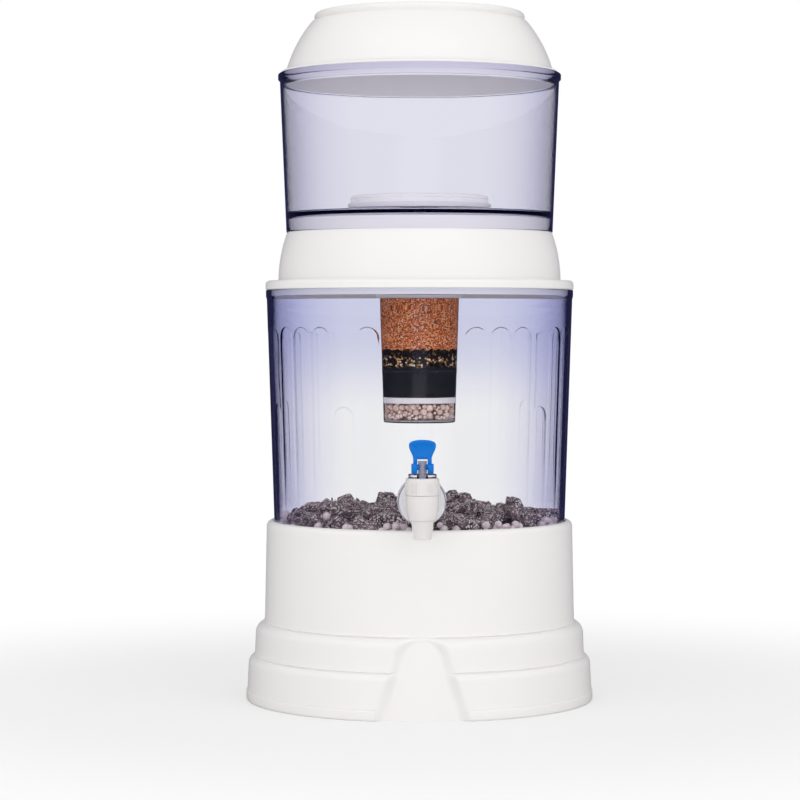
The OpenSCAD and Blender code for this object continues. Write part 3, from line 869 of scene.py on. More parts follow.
    def shell(self) -> Mesh:
        """The tank's wall and floor, with its flutes.

        Returns:
            One closed mesh of rings that each have a point on every column.
        """
        columns = self.columns()
        foot = arc((self.radius(self.floor_z) - 5, self.floor_z + 5), 5, -90, -4, 8)
        rings = [[point] * len(columns) for point in [(0.0, self.floor_z)] + foot]
        for beside, centre, share in self.outer_rows():
            ring = []
            for k, x in columns:
                bend = share if self.arch(k) == centre else 0.0
                z = beside + bend * math.sqrt(max(0.0, self.flute_half ** 2 - x * x))
                ring.append((self.radius(z) - self.sink(k, x, z), z))
            rings.append(ring)
        rings += [[point] * len(columns) for point in self.rim_and_inside()]
        turns = [k * FULL_TURN / self.flute_count + x / self.mean_r for k, x in columns]
        bm = bmesh.new()
        grid = [[bm.verts.new((r * math.sin(a), -r * math.cos(a), z)) for (r, z), a in zip(ring, turns)]
                for ring in rings]
        for lower, upper in zip(grid, grid[1:]):
            for i in range(len(columns)):
                bm.faces.new((lower[i - 1], lower[i], upper[i], upper[i - 1]))
        return sealed(bm)

    def walls(self) -> Mesh:
        """The tank with the round pads that the tap is clamped to, and the hole through them."""
        front = offset(0.0, self.pad_y, [(0.0, -8), (19.8, -8), (19.4, -1.4)]) + [
            *arc((18.0, self.pad_y - 1.2), 1.2, 0, 90, 4), (0.0, self.pad_y)]
        back = offset(0.0, self.inner_pad_y, [(0.0, 0.0), (15.4, 0.0), (16.0, 0.6), (16.0, 5), (0.0, 5)])
        hole = [(0.0, 100.0), (8.4, 100.0), (8.4, 140.0), (0.0, 140.0)]
        steps = zip(("UNION", "UNION", "DIFFERENCE"), (on_shank(form, 96) for form in (front, back, hole)))
        return carved(self.shell(), list(steps))

    def rock(self, rng: random.Random, radius: float) -> Mesh:
        """One broken stone: the hull of a few random points, with its edges slightly worn.

        Args:
            rng: source of random numbers.
            radius: rough radius.

        Returns:
            The stone, about its own centre.
        """
        bm = bmesh.new()
        stretch = Vector([rng.uniform(*limits) for limits in self.stone_stretch])
        for _ in range(self.stone_corners):
            way = Vector((rng.gauss(0, 1), rng.gauss(0, 1), rng.gauss(0, 1))).normalized()
            bm.verts.new(way * stretch * radius * rng.uniform(*self.stone_jitter))
        hull = bmesh.ops.convex_hull(bm, input=bm.verts)
        bmesh.ops.delete(bm, geom=only(hull["geom_interior"], bmesh.types.BMVert), context="VERTS")
        bmesh.ops.bevel(bm, geom=bm.edges, offset=radius * self.stone_wear, segments=1, profile=0.5,
                        affect="EDGES", material=-1, clamp_overlap=True)
        return bm

    def rest_height(self, x: float, y: float, radius: float, grip: float) -> float:
        """Height at which a ball dropped at x, y comes to rest on the floor or the heap.

        Args:
            x: where it is dropped.
            y: where it is dropped.
            radius: its radius.
            grip: share of the two radii at which pieces touch.

        Returns:
            Height of its centre.
        """
        height = self.floor_z + self.bed_lift + radius * grip
        for centre, size in self.heap:
            gap = (radius + size) * grip
            off = (centre.x - x) ** 2 + (centre.y - y) ** 2
            if off < gap * gap:
                height = max(height, centre.z + math.sqrt(gap * gap - off))
        return height

    def drop(self, rng: random.Random, radius: float, reach: Point, grip: float, tries: int,
             limit: float) -> Vector | None:
        """Lays a stone or bead in the lowest of several resting places that are clear of the tap's nut.

        Args:
            rng: source of random numbers.
            radius: its radius.
            reach: least and greatest distance from the tank's axis.
            grip: share of the two radii at which pieces touch.
            tries: number of places looked at.
            limit: the greatest height that its centre may have.

        Returns:
            Its place, or None if it finds none.
        """
        best = None
        for _ in range(tries):
            angle = rng.uniform(0, FULL_TURN)
            r = math.sqrt(rng.uniform(reach[0] ** 2, reach[1] ** 2))
            x, y = r * math.cos(angle), r * math.sin(angle)
            z = self.rest_height(x, y, radius, grip)
            under_nut = (abs(x) < self.nut_r + radius and y < self.nut_y + radius
                         and z + radius > SHANK_Z - self.nut_below)
            if not under_nut and (best is None or z < best.z):
                best = Vector((x, y, z))
        if best is None or best.z > limit:
            return None
        self.heap.append((best, radius))
        return best

    def stones(self, load: Load, rng: random.Random) -> list[Mesh]:
        """Tips one load of stones over the floor.

        Args:
            load: the stones.
            rng: source of random numbers.

        Returns:
            The stones that found a place.
        """
        rocks = []
        for _ in range(load.count):
            radius = rng.uniform(*load.sizes)
            reach = (0.0, load.reach - radius * load.inset)
            spot = self.drop(rng, radius, reach, self.stone_grip, self.stone_tries, load.limit)
            if spot is None:
                continue
            turn = Matrix.Rotation(rng.uniform(0, FULL_TURN), 4, "Z")
            if load.tilt:
                turn = turn @ Matrix.Rotation(rng.uniform(-load.tilt, load.tilt), 4, "X")
            rocks.append(moved(self.rock(rng, radius), Matrix.Translation(spot) @ turn))
        return rocks

    def beads(self, rng: random.Random) -> list[Mesh]:
        """Drops the beads, most of them along the wall, where they settle between the stones.

        Args:
            rng: source of random numbers.

        Returns:
            The beads that found a place.
        """
        balls = []
        for i in range(self.bead_count):
            radius = rng.choice(self.bead_radii)
            edge = self.radius(self.bed_z) - self.thin_wall - radius - self.bead_gap
            near = edge - self.belt_width if i < self.bead_count * self.belt_share else self.bead_near
            limit = self.bead_limit if i % self.high_every else self.high_bead_limit
            spot = self.drop(rng, radius, (near, edge), self.bead_grip, self.bead_tries, limit)
            if spot is not None:
                balls.append(ball(spot, radius))
        return balls

    def build(self) -> None:
        """Builds the tank, heaps the stones over its floor and lets the beads settle between them."""
        piece(self.walls(), "fluted_tank", Body.LOWER_TANK, CLEAR_TANK, "lower_tank", 60)
        draws = [random.Random(self.seed + i) for i in range(len(self.loads))]
        pile = joined([rock for load, rng in zip(self.loads, draws) for rock in self.stones(load, rng)])
        limit = self.radius(self.bed_z) - self.thin_wall - self.stone_gap
        for vert in pile.verts:
            r = math.hypot(vert.co.x, vert.co.y)
            if r > limit:
                vert.co.x *= limit / r
                vert.co.y *= limit / r
            vert.co.z = max(vert.co.z, self.floor_z + self.stone_foot)
        bmesh.ops.recalc_face_normals(pile, faces=pile.faces)
        piece(pile, "loose_stones", Body.LOWER_TANK, STONE, "mineral_stones", 16)
        piece(joined(self.beads(draws[0])), "loose_beads", Body.LOWER_TANK, BEAD, "mineral_beads", 80)


# ---- collar, upper tank and lid ---------------------------------------------------------------


@dataclass
class Collar:
    """White lid of the lower tank, domed up to carry the upper tank."""

    foot_z: float = 343.0
    ledge_z: float = 390.4
    deck_z: float = 401.8
    flange_r: float = 129.0
    dome_centre: Point = (1.5, 350.0)
    dome_r: float = 116.7
    wall: float = 2.6
    turn_steps: int = 256

    def build(self) -> None:
        """Turns the collar."""
        dome = self.dome_centre[0] + self.dome_r
        deck = self.deck_z
        under = deck - self.wall
        rows = offset(self.flange_r, self.foot_z, [(-6, 0), (-0.5, 0), (0, 0.5), (0, 4.3)])
        rows += arc((self.flange_r - 3, self.foot_z + 4.3), 3, 0, 90, 10)[1:]
        rows += offset(dome, self.foot_z, [(1.6, 7.3), (0.5, 7.5), (0, 8.2)])
        rows += arc(self.dome_centre, self.dome_r, 2.0, 19.0, 30)
        rows += [(111.2, self.ledge_z - 0.5), (110.8, self.ledge_z), (107, self.ledge_z), (107, deck - 0.8),
                 (106.2, deck), (40.6, deck), (40, deck - 0.6), (40, 384), (42.4, 384), (42.4, under),
                 (101, under), (104, 393), (107.4, 387)]
        rows += arc(self.dome_centre, self.dome_r - self.wall, 18.5, 0, 16)
        rows += [(dome - 2.8, 346), (122, 345.6), (121.4, 338), (123.8, 338), (124, self.foot_z)]
        piece(spun(rows, self.turn_steps), "collar_shell", Body.COLLAR, WHITE_ABS, "collar")


@dataclass
class UpperTank:
    """Clear upper tank with its pre-filter standing on the floor inside."""

    foot_z: float = 390.7
    foot_r: float = 111.5
    top_r: float = 116.8
    band_z: float = 517.5
    floor_z: float = 403.2
    floor_t: float = 2.7
    ledge_z: float = 513.2
    wall: float = 1.8
    corner: float = 1.4
    boss_z: float = 385.0
    thread_count: int = 4
    thread_pitch: float = 3.4
    turn_steps: int = 360
    dish_steps: int = 160
    dish: tuple[Point, ...] = (
        (6.2, 409), (58.2, 409), (59.4, 409.4), (60, 410.4), (60, 413.8), (59.7, 414.4), (59.2, 414.6),
        (58.4, 414.6), (58.2, 414.2), (58.2, 411.4), (6.2, 411.4))
    disc: tuple[Point, ...] = (
        (0, 411.5), (57.8, 411.5), (57.8, 416.9), (57.3, 417.3), (57.2, 417.7), (57.3, 418.1), (57.8, 418.5),
        *arc((55.8, 419.3), 2, 0, 90, 8), (0, 421.3))

    def radius(self, z: float) -> float:
        """Outer radius of the wall at height z."""
        return self.foot_r + (self.top_r - self.foot_r) * (z - self.foot_z) / (self.band_z - self.foot_z)

    def outer(self) -> Profile:
        """The outside from the foot up and over the rim."""
        rows = [(self.foot_r - self.wall + 0.4, self.foot_z), (self.foot_r - 0.4, self.foot_z)]
        rows += [(self.foot_r, self.foot_z + 0.4)]
        rows += [(self.radius(z), z) for z in (391.6, 400.0, 420.0, 450.0, 480.0, 505.0, 516.8, self.band_z)]
        rows += [(118.0, 517.9), (118.3, 518.4), (118.3, 521.6)]
        return rows + arc((117.4, 521.7), 0.9, 0, 90, 4) + arc((113.9, 521.8), 0.8, 90, 180, 4)

    def inner(self) -> Profile:
        """The inside from the rim past the groove under the lid's skirt to the hole in the floor."""
        top = self.floor_z + self.floor_t
        edge = self.radius(top) - self.wall
        groove = self.radius(self.ledge_z) - self.wall
        rows = [(113.2, 518.4)]
        rows += offset(groove, self.ledge_z, [(-1.3, 0.9), (-1.1, 0.3), (0.8, 0), (0.8, -0.15)])
        rows += [(self.radius(z) - self.wall, z) for z in
                 (self.ledge_z - 0.85, self.ledge_z - 1.2, 480.0, 440.0, 414.0, 409.0, 408.0)]
        rows += arc((edge - self.corner, top + self.corner), self.corner, 0, -90, 12)
        return rows + [(edge - 5, top), (edge - 12, top), (7, top), (6.2, top)]

    def under(self) -> Profile:
        """The floor's underside with its threaded boss, and the skirt's inside."""
        low = self.floor_z
        edge = self.radius(low) - self.wall
        rows = [(6.2, low), (20, low), (20, self.boss_z), (22.8, self.boss_z)]
        for i in range(self.thread_count):
            z = self.boss_z + self.thread_pitch * i
            rows += [(24, z + 1.2), (24, z + 2.4), (23, z + 3.0), (23, z + 4.0)]
        rows += [(23, low), (24, low), (90, low), (edge - 3, low)]
        rows += arc((edge - 1.2, low - 1.2), 1.2, 90, 0, 8)
        return rows + offset(self.foot_r - self.wall, 0.0, [(0.3, 400.6), (0.3, 391.6)])

    def build(self) -> None:
        """Turns the tank, the pan and the ceramic disc."""
        rows = self.outer() + self.inner() + self.under()
        piece(spun(rows, self.turn_steps), "upper_tank_shell", Body.UPPER_TANK, CLEAR, "upper_tank", 60)
        piece(spun(self.dish, self.dish_steps), "prefilter_dish", Body.UPPER_TANK, WHITE_ABS, "prefilter_pan")
        piece(spun(self.disc, self.dish_steps), "prefilter_dome", Body.UPPER_TANK, FILTER_CERAMIC,
              "prefilter_disc", 50)


@dataclass
class Lid:
    """White domed lid with a rolled rim round a shallow top."""

    centre: Point = (6.9, 496.6)
    radius: float = 108.5
    wall: float = 2.5
    neck_r: float = 86.9
    bead: Point = (84.6, 570.4)
    bead_r: float = 3.3
    skirt_z: float = 514.2
    turn_steps: int = 256

    def build(self) -> None:
        """Turns the lid."""
        rows = [(112.4, 522.9), (115.2, 522.9), (115.5, 523.2), (115.5, 524.1), (115.2, 524.6),
                (114.4, 524.9), (113.2, 525.1), (112.4, 525.8)]
        rows += arc(self.centre, self.radius, 16.2, 39.8, 36)
        rows += [(self.neck_r + 0.3, 566.6), (self.neck_r, 567.2)]
        rows += arc(self.bead, self.bead_r, -46, 180, 18)
        rows += [(81.4, 566.4), (81.2, 564.6), (79.4, 563.4), (60, 562.8), (0, 562.4), (0, 559.9),
                 (86.5, 560.2)]
        rows += arc(self.centre, self.radius - self.wall, 36.5, 16.2, 24)
        rows += [(109.8, 523.5), (110.4, self.skirt_z), (112.2, self.skirt_z)]
        piece(spun(rows, self.turn_steps), "lid_shell", Body.LID, WHITE_ABS, "lid")


# ---- cartridge --------------------------------------------------------------------------------


@dataclass
class Cartridge:
    """Clear cup filled with layers of granules, hanging under the upper tank."""

    foot_z: float = 231.8
    top_z: float = 352.0
    foot_r: float = 30.0
    top_r: float = 33.6
    wall: float = 1.0
    bite: float = 0.3  # how far each layer reaches into the cup's wall
    fill_edge: float = 0.3
    seam_z: float = 274.5
    unevenness: float = 2.2
    waves: float = 7.0  # the more, the shorter the boundaries' ups and downs
    borders: Point = (278.35, 292.95)
    border_reach: float = 0.4
    layers: tuple[tuple[str, float, float, Finish], ...] = (
        ("cartridge_grate", 232.9, 234.0, MESH),
        ("cartridge_lower_pad", 248.0, 252.9, WHITE_FELT),
        ("media_carbon", 253.0, 278.3, CARBON),
        ("media_zeolite", 278.4, 292.9, ZEOLITE),
        ("media_clay", 293.0, 337.4, CLAY),
        ("cartridge_top_pad", 337.5, 342.5, GREY_FELT))
    chamber: Point = (234.2, 247.8)
    edge_share: float = 0.72  # share of the balls that lie against the wall
    ball_grip: float = 0.93
    large_tries: int = 1600
    all_tries: int = 5200
    large_balls: tuple[float, ...] = (3.3, 3.0, 2.6)
    small_balls: tuple[float, ...] = (1.9, 1.5, 1.3)
    cup_steps: int = 192
    fill_steps: int = 120
    seed: int = 5

    def radius(self, z: float) -> float:
        """Outer radius of the cup at height z."""
        return self.foot_r + (self.top_r - self.foot_r) * (z - self.foot_z) / (self.top_z - self.foot_z)

    def cup(self) -> None:
        """Turns the clear cup with the fine seam bead round it."""
        seam = self.seam_z
        top = (self.top_z - 1, self.top_z)
        rows = [(0.0, self.foot_z), (self.foot_r - 1.6, self.foot_z)]
        rows += arc((self.foot_r - 1, self.foot_z + 1), 1, -90, 0, 4)
        rows += [(self.radius(z), z) for z in (self.foot_z + 1.5, 240.0, 255.0, seam - 1.3, seam - 0.9)]
        rows += arc((self.radius(seam) + 0.05, seam), 0.45, -70, 70, 6)
        rows += [(self.radius(z), z) for z in (seam + 0.9, seam + 1.3, 300.0, 330.0, *top)]
        rows += [(self.radius(z) - self.wall, z) for z in (*reversed(top), 320.0, 280.0, 250.0, 235.0, 233.2)]
        rows += offset(self.foot_r - self.wall, self.foot_z + 1.0, [(0.0, 0.0), (-0.6, 0.0)])
        rows += [(0.0, self.foot_z + 1.0)]
        piece(spun(rows, self.cup_steps), "cartridge_cup", Body.UPPER_TANK, CLEAR_CUP, "cartridge_shell", 50)

    def sway(self, place: Vector) -> float:
        """How far the granules' boundary nearest to a point runs above or below its even height.

        Args:
            place: the point.

        Returns:
            The height to add, which is none away from the boundaries.
        """
        for level in self.borders:
            if abs(place.z - level) < self.border_reach:
                turn = math.atan2(place.y, place.x)
                spot = Vector((self.waves * math.cos(turn), self.waves * math.sin(turn), level))
                return self.unevenness * noise.noise(spot)
        return 0.0

    def filling(self) -> None:
        """Turns each layer, a little way into the cup's wall; the granules meet along uneven boundaries."""
        gap = self.wall - self.bite
        edge = self.fill_edge
        for node, low, high, finish in self.layers:
            rows = [(0.0, low), (self.radius(low) - gap - edge, low)]
            heights = (low + edge + (high - low - 2 * edge) * i / 6 for i in range(7))
            rows += [(self.radius(z) - gap, z) for z in heights]
            rows += [(self.radius(high) - gap - edge, high), (0.0, high)]
            layer = spun(rows, self.fill_steps)
            for vert in layer.verts:
                vert.co.z += self.sway(vert.co)
            piece(layer, node + "_fill", Body.UPPER_TANK, finish, node)

    def balls(self) -> None:
        """Packs the lowest chamber with balls of mixed size."""
        rng = random.Random(self.seed)
        edge = self.radius(240) - self.wall + 0.2
        low, high = self.chamber
        spots: list[tuple[Vector, float]] = []
        for attempt in range(self.all_tries):
            radius = rng.choice(self.large_balls if attempt < self.large_tries else self.small_balls)
            reach = edge - radius if rng.random() < self.edge_share else rng.uniform(0, edge - radius)
            angle = rng.uniform(0, FULL_TURN)
            z = rng.uniform(low + radius, high - radius)
            spot = Vector((reach * math.cos(angle), reach * math.sin(angle), z))
            if all((spot - other).length > (radius + size) * self.ball_grip for other, size in spots):
                spots.append((spot, radius))
        balls = joined(ball(spot, radius) for spot, radius in spots)
        piece(balls, "mineral_ball_fill", Body.UPPER_TANK, BALL, "mineral_balls", 80)

    def build(self) -> None:
        """Builds the cup and all that is in it."""
        self.cup()
        self.filling()
        self.balls()


# ---- tap --------------------------------------------------------------------------------------


@dataclass
class Tap:
    """White lever tap: body and spout, screw bonnet, clear ring, grey stem and blue lever."""

    axis_y: float = -152.0
    pin_z: float = 202.0
    bonnet_z: float = 180.0
    bonnet_top: float = 193.4
    ring_top: float = 196.6
    belly_r: float = 67.7
    thread_count: int = 5
    thread_pitch: float = 3.0
    rib_groups: int = 6
    rib_turn: float = -2.0  # how far the groups of ribs are turned, in degrees
    rib_pitch: float = 9.0  # between the ribs of a group, in degrees
    rib_size: tuple[float, float, float] = (0.8, 0.8, 7.6)
    rib_place: tuple[float, float, float] = (13.3, 0.0, 185.8)
    waist_half: float = 7.3
    swell: float = 0.7  # share of its height over which the paddle widens
    paddle_w: float = 21.2
    paddle_t: float = 3.6
    lever_low: float = 6.2
    lever_high: float = 21.4
    arm_size: Point = (3.3, 3.8)  # width and thickness
    arm_x: float = 5.65
    boss_size: Point = (2.3, 1.8)  # radius and length
    boss_x: float = 3.6
    lobe_width: float = 4.7
    lobe_place: Point = (6.35, -2.2)  # how far beside the pin's middle and in front of it
    lobe_gap: float = 0.25  # between the lobes and the ring under them
    lobe_lift: float = 1.02  # centre of the lobes above the pin
    lobe_cut: float = 2.5  # the lobes are flat on top at this height above the pin
    body_steps: int = 72
    bonnet_steps: int = 96
    stem_steps: int = 48

    def place(self, bm: Mesh, z: float = 0.0) -> Mesh:
        """Moves a mesh made about the origin to the tap's barrel axis."""
        return moved(bm, Matrix.Translation((0, self.axis_y, z)))

    def body(self) -> None:
        """Barrel, spout, flange and threaded shank."""
        rows = [(5.0, 166.0), (5.0, 146.0), (5.6, 145.4), (6.5, 145.2), (7.1, 145.8), (8.9, 159.4),
                (9.2, 160.0), (10.2, 160.2), (10.7, 160.6)]
        rows += arc((13.1 - self.belly_r, 178), self.belly_r, -14.4, 0, 24)
        rows += [(13.1, 179.5), (12.8, 179.8), (11.2, 179.8), (11.2, 190.4), (8.6, 190.4), (8.6, 166.0)]
        flange = [(4.0, 104.0), (6.4, 104.0)]
        for i in range(self.thread_count):
            y = 105.6 + self.thread_pitch * i
            flange += [(7.4, y), (7.4, y + 0.8), (6.8, y + 1.6)]
        flange += [(8, 121), (8, 126), (14.2, 126)] + arc((14.0, 127.2), 1.0, -60, 50, 6)
        flange += [(13.6, 129.0), (9.2, 130.5), (7.6, 131.6), (6.8, 133.4), (6.6, 135.2), (6.6, 142.0),
                   (4.0, 142.0)]
        whole = joined([self.place(spun(rows, self.body_steps)), on_shank(flange, self.body_steps)])
        piece(whole, "tap_barrel", Body.LOWER_TANK, WHITE_TAP, "tap_body")

    def bonnet(self) -> None:
        """Screw cap with grip ribs in threes."""
        z = self.bonnet_z
        top = self.bonnet_top
        rows = [(11.6, z), (12.9, z), (13.2, z + 0.3)] + arc((11.5, top - 1.7), 1.7, 0, 90, 8)
        rows += [(2.9, top), (2.8, top - 0.2), (2.8, 190.8), (11.6, 190.8)]
        parts = [self.place(spun(rows, self.bonnet_steps))]
        for angle in (360 / self.rib_groups * group + self.rib_turn + self.rib_pitch * i
                      for group in range(self.rib_groups) for i in (-1, 0, 1)):
            rib = block(self.rib_size, self.rib_place, 0.2)
            parts.append(self.place(moved(rib, Matrix.Rotation(math.radians(angle), 4, "Z"))))
        piece(joined(parts), "tap_cap", Body.LOWER_TANK, WHITE_TAP, "tap_bonnet")

    def ring(self) -> None:
        """Clear wear ring under the lever's lobes."""
        top = self.ring_top
        rows = [(2.9, 193.5), (10.8, 193.5), (11.2, 193.9), (11.2, top - 0.6), (10.7, top), (2.9, top)]
        ring = self.place(spun(rows, self.body_steps))
        piece(ring, "tap_wear_ring", Body.LOWER_TANK, CLEAR_CUP, "tap_top_ring")

    def stem(self) -> None:
        """Stem: a rod with a foot for the plunger, and a waisted head that the hinge pin runs through."""
        pin = self.pin_z
        rows = [(0.0, 169.2), (3.9, 169.2), (3.9, 170.7), (2.5, 170.8), (2.5, 196.9), (3.1, 197.2),
                (3.4, 197.8)]
        rows += rise((3.5, 198.4), (2.6, pin - 0.6), 4) + [(2.5, pin), (2.6, pin + 1.4), (3.1, pin + 2.4)]
        rows += arc((3.05, pin + 4.2), 0.6, -40, 90, 5) + [(0.0, pin + 4.9)]
        stem = self.place(spun(rows, self.stem_steps))
        piece(stem, "tap_valve_rod", Body.STEM, STEM_PLASTIC, "tap_stem")

    def half_width(self, t: float) -> float:
        """Half width of the paddle at a share of its height.

        Args:
            t: the share, from 0 to 1.

        Returns:
            Half the width, which swells from the waist and closes in a round top.
        """
        half = self.paddle_w / 2
        if t < self.swell:
            return self.waist_half + (half - self.waist_half) * (1 - math.cos(math.pi * t / self.swell)) / 2
        return half * max(0.0, 1 - ((t - self.swell) / (1 - self.swell)) ** 3) ** 0.45

    def paddle(self) -> Mesh:
        """The lever's dished plate.

        Returns:
            The plate, upright about the hinge pin.
        """
        steps = [i / 20 for i in range(20)] + [0.975, 0.99, 0.998]
        side = [(self.half_width(t), self.lever_low + (self.lever_high - self.lever_low) * t) for t in steps]
        outline = side + [(-x, z) for x, z in reversed(side)]
        bm = bmesh.new()
        front = bm.faces.new([bm.verts.new((x, -self.paddle_t / 2, z)) for x, z in outline])
        grown = bmesh.ops.extrude_face_region(bm, geom=[front])
        bmesh.ops.translate(bm, vec=(0, self.paddle_t, 0), verts=only(grown["geom"], bmesh.types.BMVert))
        bmesh.ops.recalc_face_normals(bm, faces=bm.faces)
        rims = [edge for face in bm.faces if len(face.verts) > 4 for edge in face.edges]
        bmesh.ops.bevel(bm, geom=rims, offset=1.6, segments=5, profile=0.5, affect="EDGES", material=-1)
        plates = [face for face in bm.faces if len(face.verts) > 6]
        dish = min(plates, key=lambda face: face.calc_center_median().y)
        bmesh.ops.inset_region(bm, faces=[dish], thickness=1.2, depth=-0.8)
        return bm

    def lever(self) -> None:
        """Blue lever: dished paddle, two arms and two round lobes on the hinge pin."""
        parts = [self.paddle()]
        cam = self.pin_z - self.ring_top - self.lobe_gap + self.lobe_lift
        low = self.lever_low
        x, y = self.lobe_place
        for side in (-1, 1):
            arm = block((*self.arm_size, low + 1.8), (side * self.arm_x, 0.0, low / 2 + 1.0), 0.7)
            centre = Matrix.Translation((side * x, y, self.lobe_lift))
            lobe = moved(drum(cam, self.lobe_width, 0.6, 64), centre)
            geom = lobe.verts[:] + lobe.edges[:] + lobe.faces[:]
            cut = bmesh.ops.bisect_plane(lobe, geom=geom, plane_co=(0, 0, self.lobe_cut), plane_no=(0, 0, 1),
                                         clear_outer=True)
            bmesh.ops.contextual_create(lobe, geom=only(cut["geom_cut"], bmesh.types.BMEdge))
            boss = moved(drum(*self.boss_size, 0.3, 32), Matrix.Translation((side * self.boss_x, 0, 0)))
            parts += [arm, lobe, boss]
        piece(self.place(joined(parts), self.pin_z), "lever_paddle", Body.LEVER, BLUE_PLASTIC, "tap_handle")

    def build(self) -> None:
        """Builds the tap."""
        self.body()
        self.bonnet()
        self.ring()
        self.stem()
        self.lever()


# ---- studio -----------------------------------------------------------------------------------


@dataclass
class Studio:
    """Floor, soft lamps, white surround and camera, in metres."""

    focal_px: float = 2650.0
    render_px: float = 800.0
    sensor_mm: float = 36.0
    distance: float = 2.226
    eye_height: float = 0.3133
    pitch: float = 1.62
    yaw: float = 0.42
    round_deg: float = 0.9
    aim: tuple[float, float, float] = (0.0, 0.0, 0.28)
    lamps: tuple[tuple[str, tuple[float, float, float], float, float], ...] = (
        ("left_softbox", (-1.4, -2.05, 0.42), 2.0, 11.9),
        ("right_softbox", (1.55, -1.95, 0.36), 2.0, 13.6),
        ("low_softbox", (0.0, -2.2, 0.1), 1.2, 7.3))
    white: str = "FFFFFF"
    soft_level: float = 0.88
    side_tone: str = "1A1A40"
    front_tone: str = "26263A"
    back_tone: str = "34345A"
    veil_tone: str = "282830"
    strip_tone: str = "C4C4CC"
    mirror_tone: str = "40404A"
    held_after: float = 0.5  # a mirrored ray that crossed more clear surfaces is held inside a wall
    inside_after: float = 3.5  # and one that crossed more than this comes from inside a tank
    floor_tone: str = "E8E8E8"
    tent_low: float = 0.25
    tent_high: float = 0.8
    floor_size: float = 6.0
    floor_glow: float = 0.14
    shade_r: float = 0.3
    white_r: float = 0.75

    def camera(self) -> None:
        """Places the camera in front of the tap, a little below the middle of the object."""
        data = bpy.data.cameras.new("studio_camera")
        data.sensor_width = self.sensor_mm
        data.lens = self.sensor_mm * self.focal_px / self.render_px
        data.clip_end = 50.0
        cam = placed("studio_camera", data)
        a = math.radians(self.round_deg)
        cam.location = (-self.distance * math.sin(a), -self.distance * math.cos(a), self.eye_height)
        cam.rotation_euler = (math.radians(90 - self.pitch), 0.0, math.radians(self.yaw) - a)
        bpy.context.scene.camera = cam

    def lamp(self, name: str, place: Sequence[float], size: float, power: float) -> None:
        """Adds a square softbox aimed at the middle of the object.

        Args:
            name: the lamp's name.
            place: where it stands.
            size: its side.
            power: its power in watts.
        """
        data = bpy.data.lights.new(name, "AREA")
        data.size = size
        data.energy = power
        obj = placed(name, data)
        obj.location = place
        obj.rotation_euler = (Vector(self.aim) - Vector(place)).to_track_quat("-Z", "Y").to_euler()
        obj.visible_camera = False
        obj.visible_glossy = False
        obj.visible_transmission = False

    @staticmethod
    def sight(tree: Tree) -> tuple[Node, Node, Socket]:
        """Tells rays that see the studio from those that only carry its light.

        Args:
            tree: the node tree.

        Returns:
            1 for rays of sight, direct or through clear walls; 1 for those that a surface has mirrored; how
            often the ray has crossed a clear surface.
        """
        path = add(tree, "LightPath").outputs
        seen = path["Is Camera Ray"]
        for kind in ("Is Transmission Ray", "Is Glossy Ray"):
            seen = add(tree, "Math", {0: seen, 1: path[kind]}, operation="MAXIMUM")
        mirrored = add(tree, "Math", {0: path["Glossy Depth"], 1: 0.5}, operation="GREATER_THAN")
        return seen, mirrored, path["Transmission Depth"]

    def glimpse(self, tree: Tree, along: Socket, crossed: Socket) -> Node:
        """What a mirrored ray sees.

        Rays off an outer face see the room: grey before the object, dark beside it, pale behind. Rays held
        inside a wall see only the dark. Rays from inside a tank see dark, with a narrow light strip in front.

        Args:
            tree: the node tree.
            along: the ray's direction from front to back, -1 to 1.
            crossed: how often the ray has crossed a clear surface.

        Returns:
            The node that gives the colour.
        """
        turn = add(tree, "MapRange", {"Value": along, "From Min": -1.0, "From Max": 1.0})
        room = ramp(tree, turn, {0.15: self.front_tone, 0.5: self.side_tone, 0.72: self.side_tone,
                                 0.95: self.back_tone})
        strip = ramp(tree, turn, {0.02: self.strip_tone, 0.05: self.veil_tone})
        held = add(tree, "Math", {0: crossed, 1: self.held_after}, operation="GREATER_THAN")
        inner = add(tree, "Math", {0: crossed, 1: self.inside_after}, operation="GREATER_THAN")
        outer = add(tree, "Mix", {0: held, 6: room, 7: self.side_tone}, data_type="RGBA")
        return add(tree, "Mix", {0: inner, 6: outer, 7: strip}, data_type="RGBA")

    def surround(self) -> None:
        """White for the camera and through clear walls; in mirrored rays white above and dim at the sides."""
        world = bpy.data.worlds.new("studio_white")
        world.use_nodes = True
        tree = world.node_tree
        tree.nodes.clear()
        seen, mirrored, crossed = self.sight(tree)
        way = add(tree, "SeparateXYZ", {"Vector": add(tree, "TexCoord").outputs["Generated"]}).outputs
        above = add(tree, "MapRange", {"Value": way["Z"], "From Min": self.tent_low,
                                       "From Max": self.tent_high}, interpolation_type="SMOOTHSTEP")
        tent = add(tree, "Mix", {0: above, 6: self.glimpse(tree, way["Y"], crossed), 7: self.white},
                   data_type="RGBA")
        tone = add(tree, "Mix", {0: mirrored, 6: self.white, 7: tent}, data_type="RGBA")
        soft = add(tree, "Background", {"Color": self.white, "Strength": self.soft_level})
        bright = add(tree, "Background", {"Color": tone, "Strength": 1.0})
        add(tree, "OutputWorld", {"Surface": add(tree, "MixShader", {0: seen, 1: soft, 2: bright})})
        bpy.context.scene.world = world

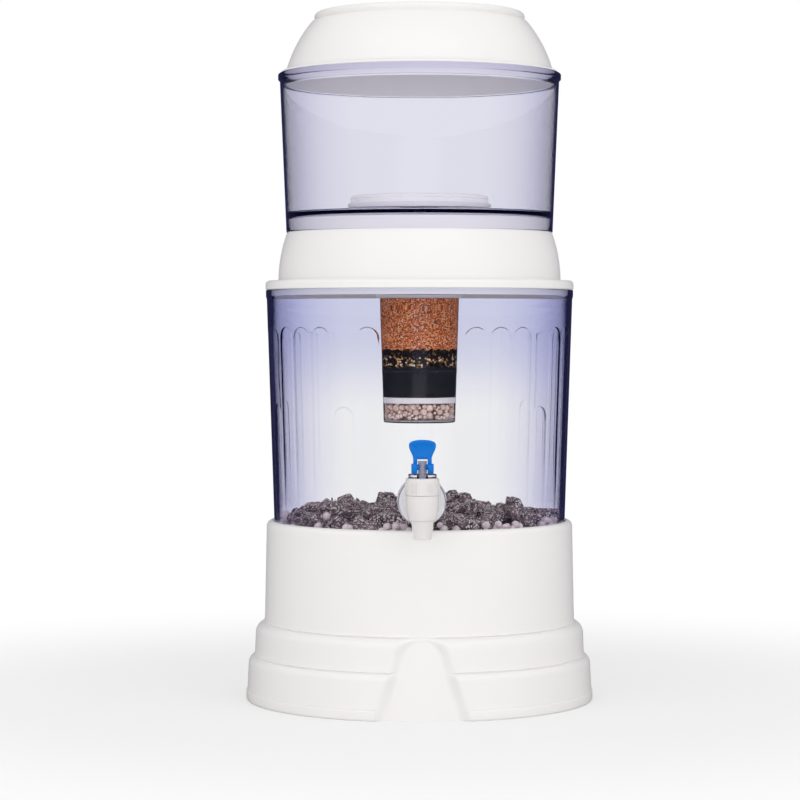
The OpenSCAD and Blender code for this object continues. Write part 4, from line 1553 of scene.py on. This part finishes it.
    def floor(self) -> None:
        """White floor that keeps the object's shadow."""
        bm = bmesh.new()
        bmesh.ops.create_grid(bm, x_segments=1, y_segments=1, size=self.floor_size)
        mesh = stored(bm, "floor")
        mat = bpy.data.materials.new("white_studio_floor")
        mat.use_nodes = True
        tree = mat.node_tree
        tree.nodes.clear()
        place = add(tree, "TexCoord").outputs["Object"]
        lit = add(tree, "BsdfDiffuse", {"Color": self.floor_tone})
        glow = add(tree, "Emission", {"Color": self.white, "Strength": self.floor_glow})
        both = add(tree, "AddShader", {0: lit, 1: glow})
        white = add(tree, "Emission", {"Color": self.white, "Strength": 1.0})
        reach = add(tree, "VectorMath", {0: place}, operation="LENGTH").outputs["Value"]
        far = add(tree, "MapRange", {"Value": reach, "From Min": self.shade_r, "From Max": self.white_r},
                  interpolation_type="SMOOTHSTEP")
        ground = add(tree, "MixShader", {0: far, 1: both, 2: white})
        seen, mirrored, crossed = self.sight(tree)
        away = add(tree, "VectorMath", {0: place}, operation="NORMALIZE").outputs["Vector"]
        along = add(tree, "SeparateXYZ", {"Vector": away}).outputs["Y"]
        distant = add(tree, "MapRange", {"Value": reach, "From Min": 0.5, "From Max": 2.0})
        tone = add(tree, "Mix", {0: distant, 6: self.mirror_tone, 7: self.glimpse(tree, along, crossed)},
                   data_type="RGBA")
        dim = add(tree, "Emission", {"Color": tone, "Strength": 1.0})
        shown = add(tree, "MixShader", {0: mirrored, 1: ground, 2: dim})
        add(tree, "OutputMaterial", {"Surface": add(tree, "MixShader", {0: seen, 1: lit, 2: shown})})
        mesh.materials.append(mat)
        placed("floor", mesh)

    def build(self) -> None:
        """Sets up the whole studio."""
        bpy.context.scene.view_settings.view_transform = "Standard"
        self.camera()
        for lamp in self.lamps:
            self.lamp(*lamp)
        self.surround()
        self.floor()


def main() -> None:
    """Builds each sub-assembly in order, dresses the carried-over solids and sets up the studio."""
    logging.basicConfig(level=logging.INFO, format="%(name)s: %(message)s")
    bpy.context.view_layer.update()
    for assembly in (BaseStand(), LowerTank(), Collar(), UpperTank(), Lid(), Cartridge(), Tap()):
        assembly.build()
    for node, finish in CARRIED.items():
        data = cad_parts[node].data
        data.materials.clear()
        data.materials.append(finish.material())
        LOG.info("%s: dressed in %s", node, finish.name)
    Studio().build()


if __name__ == "__main__":
    main()
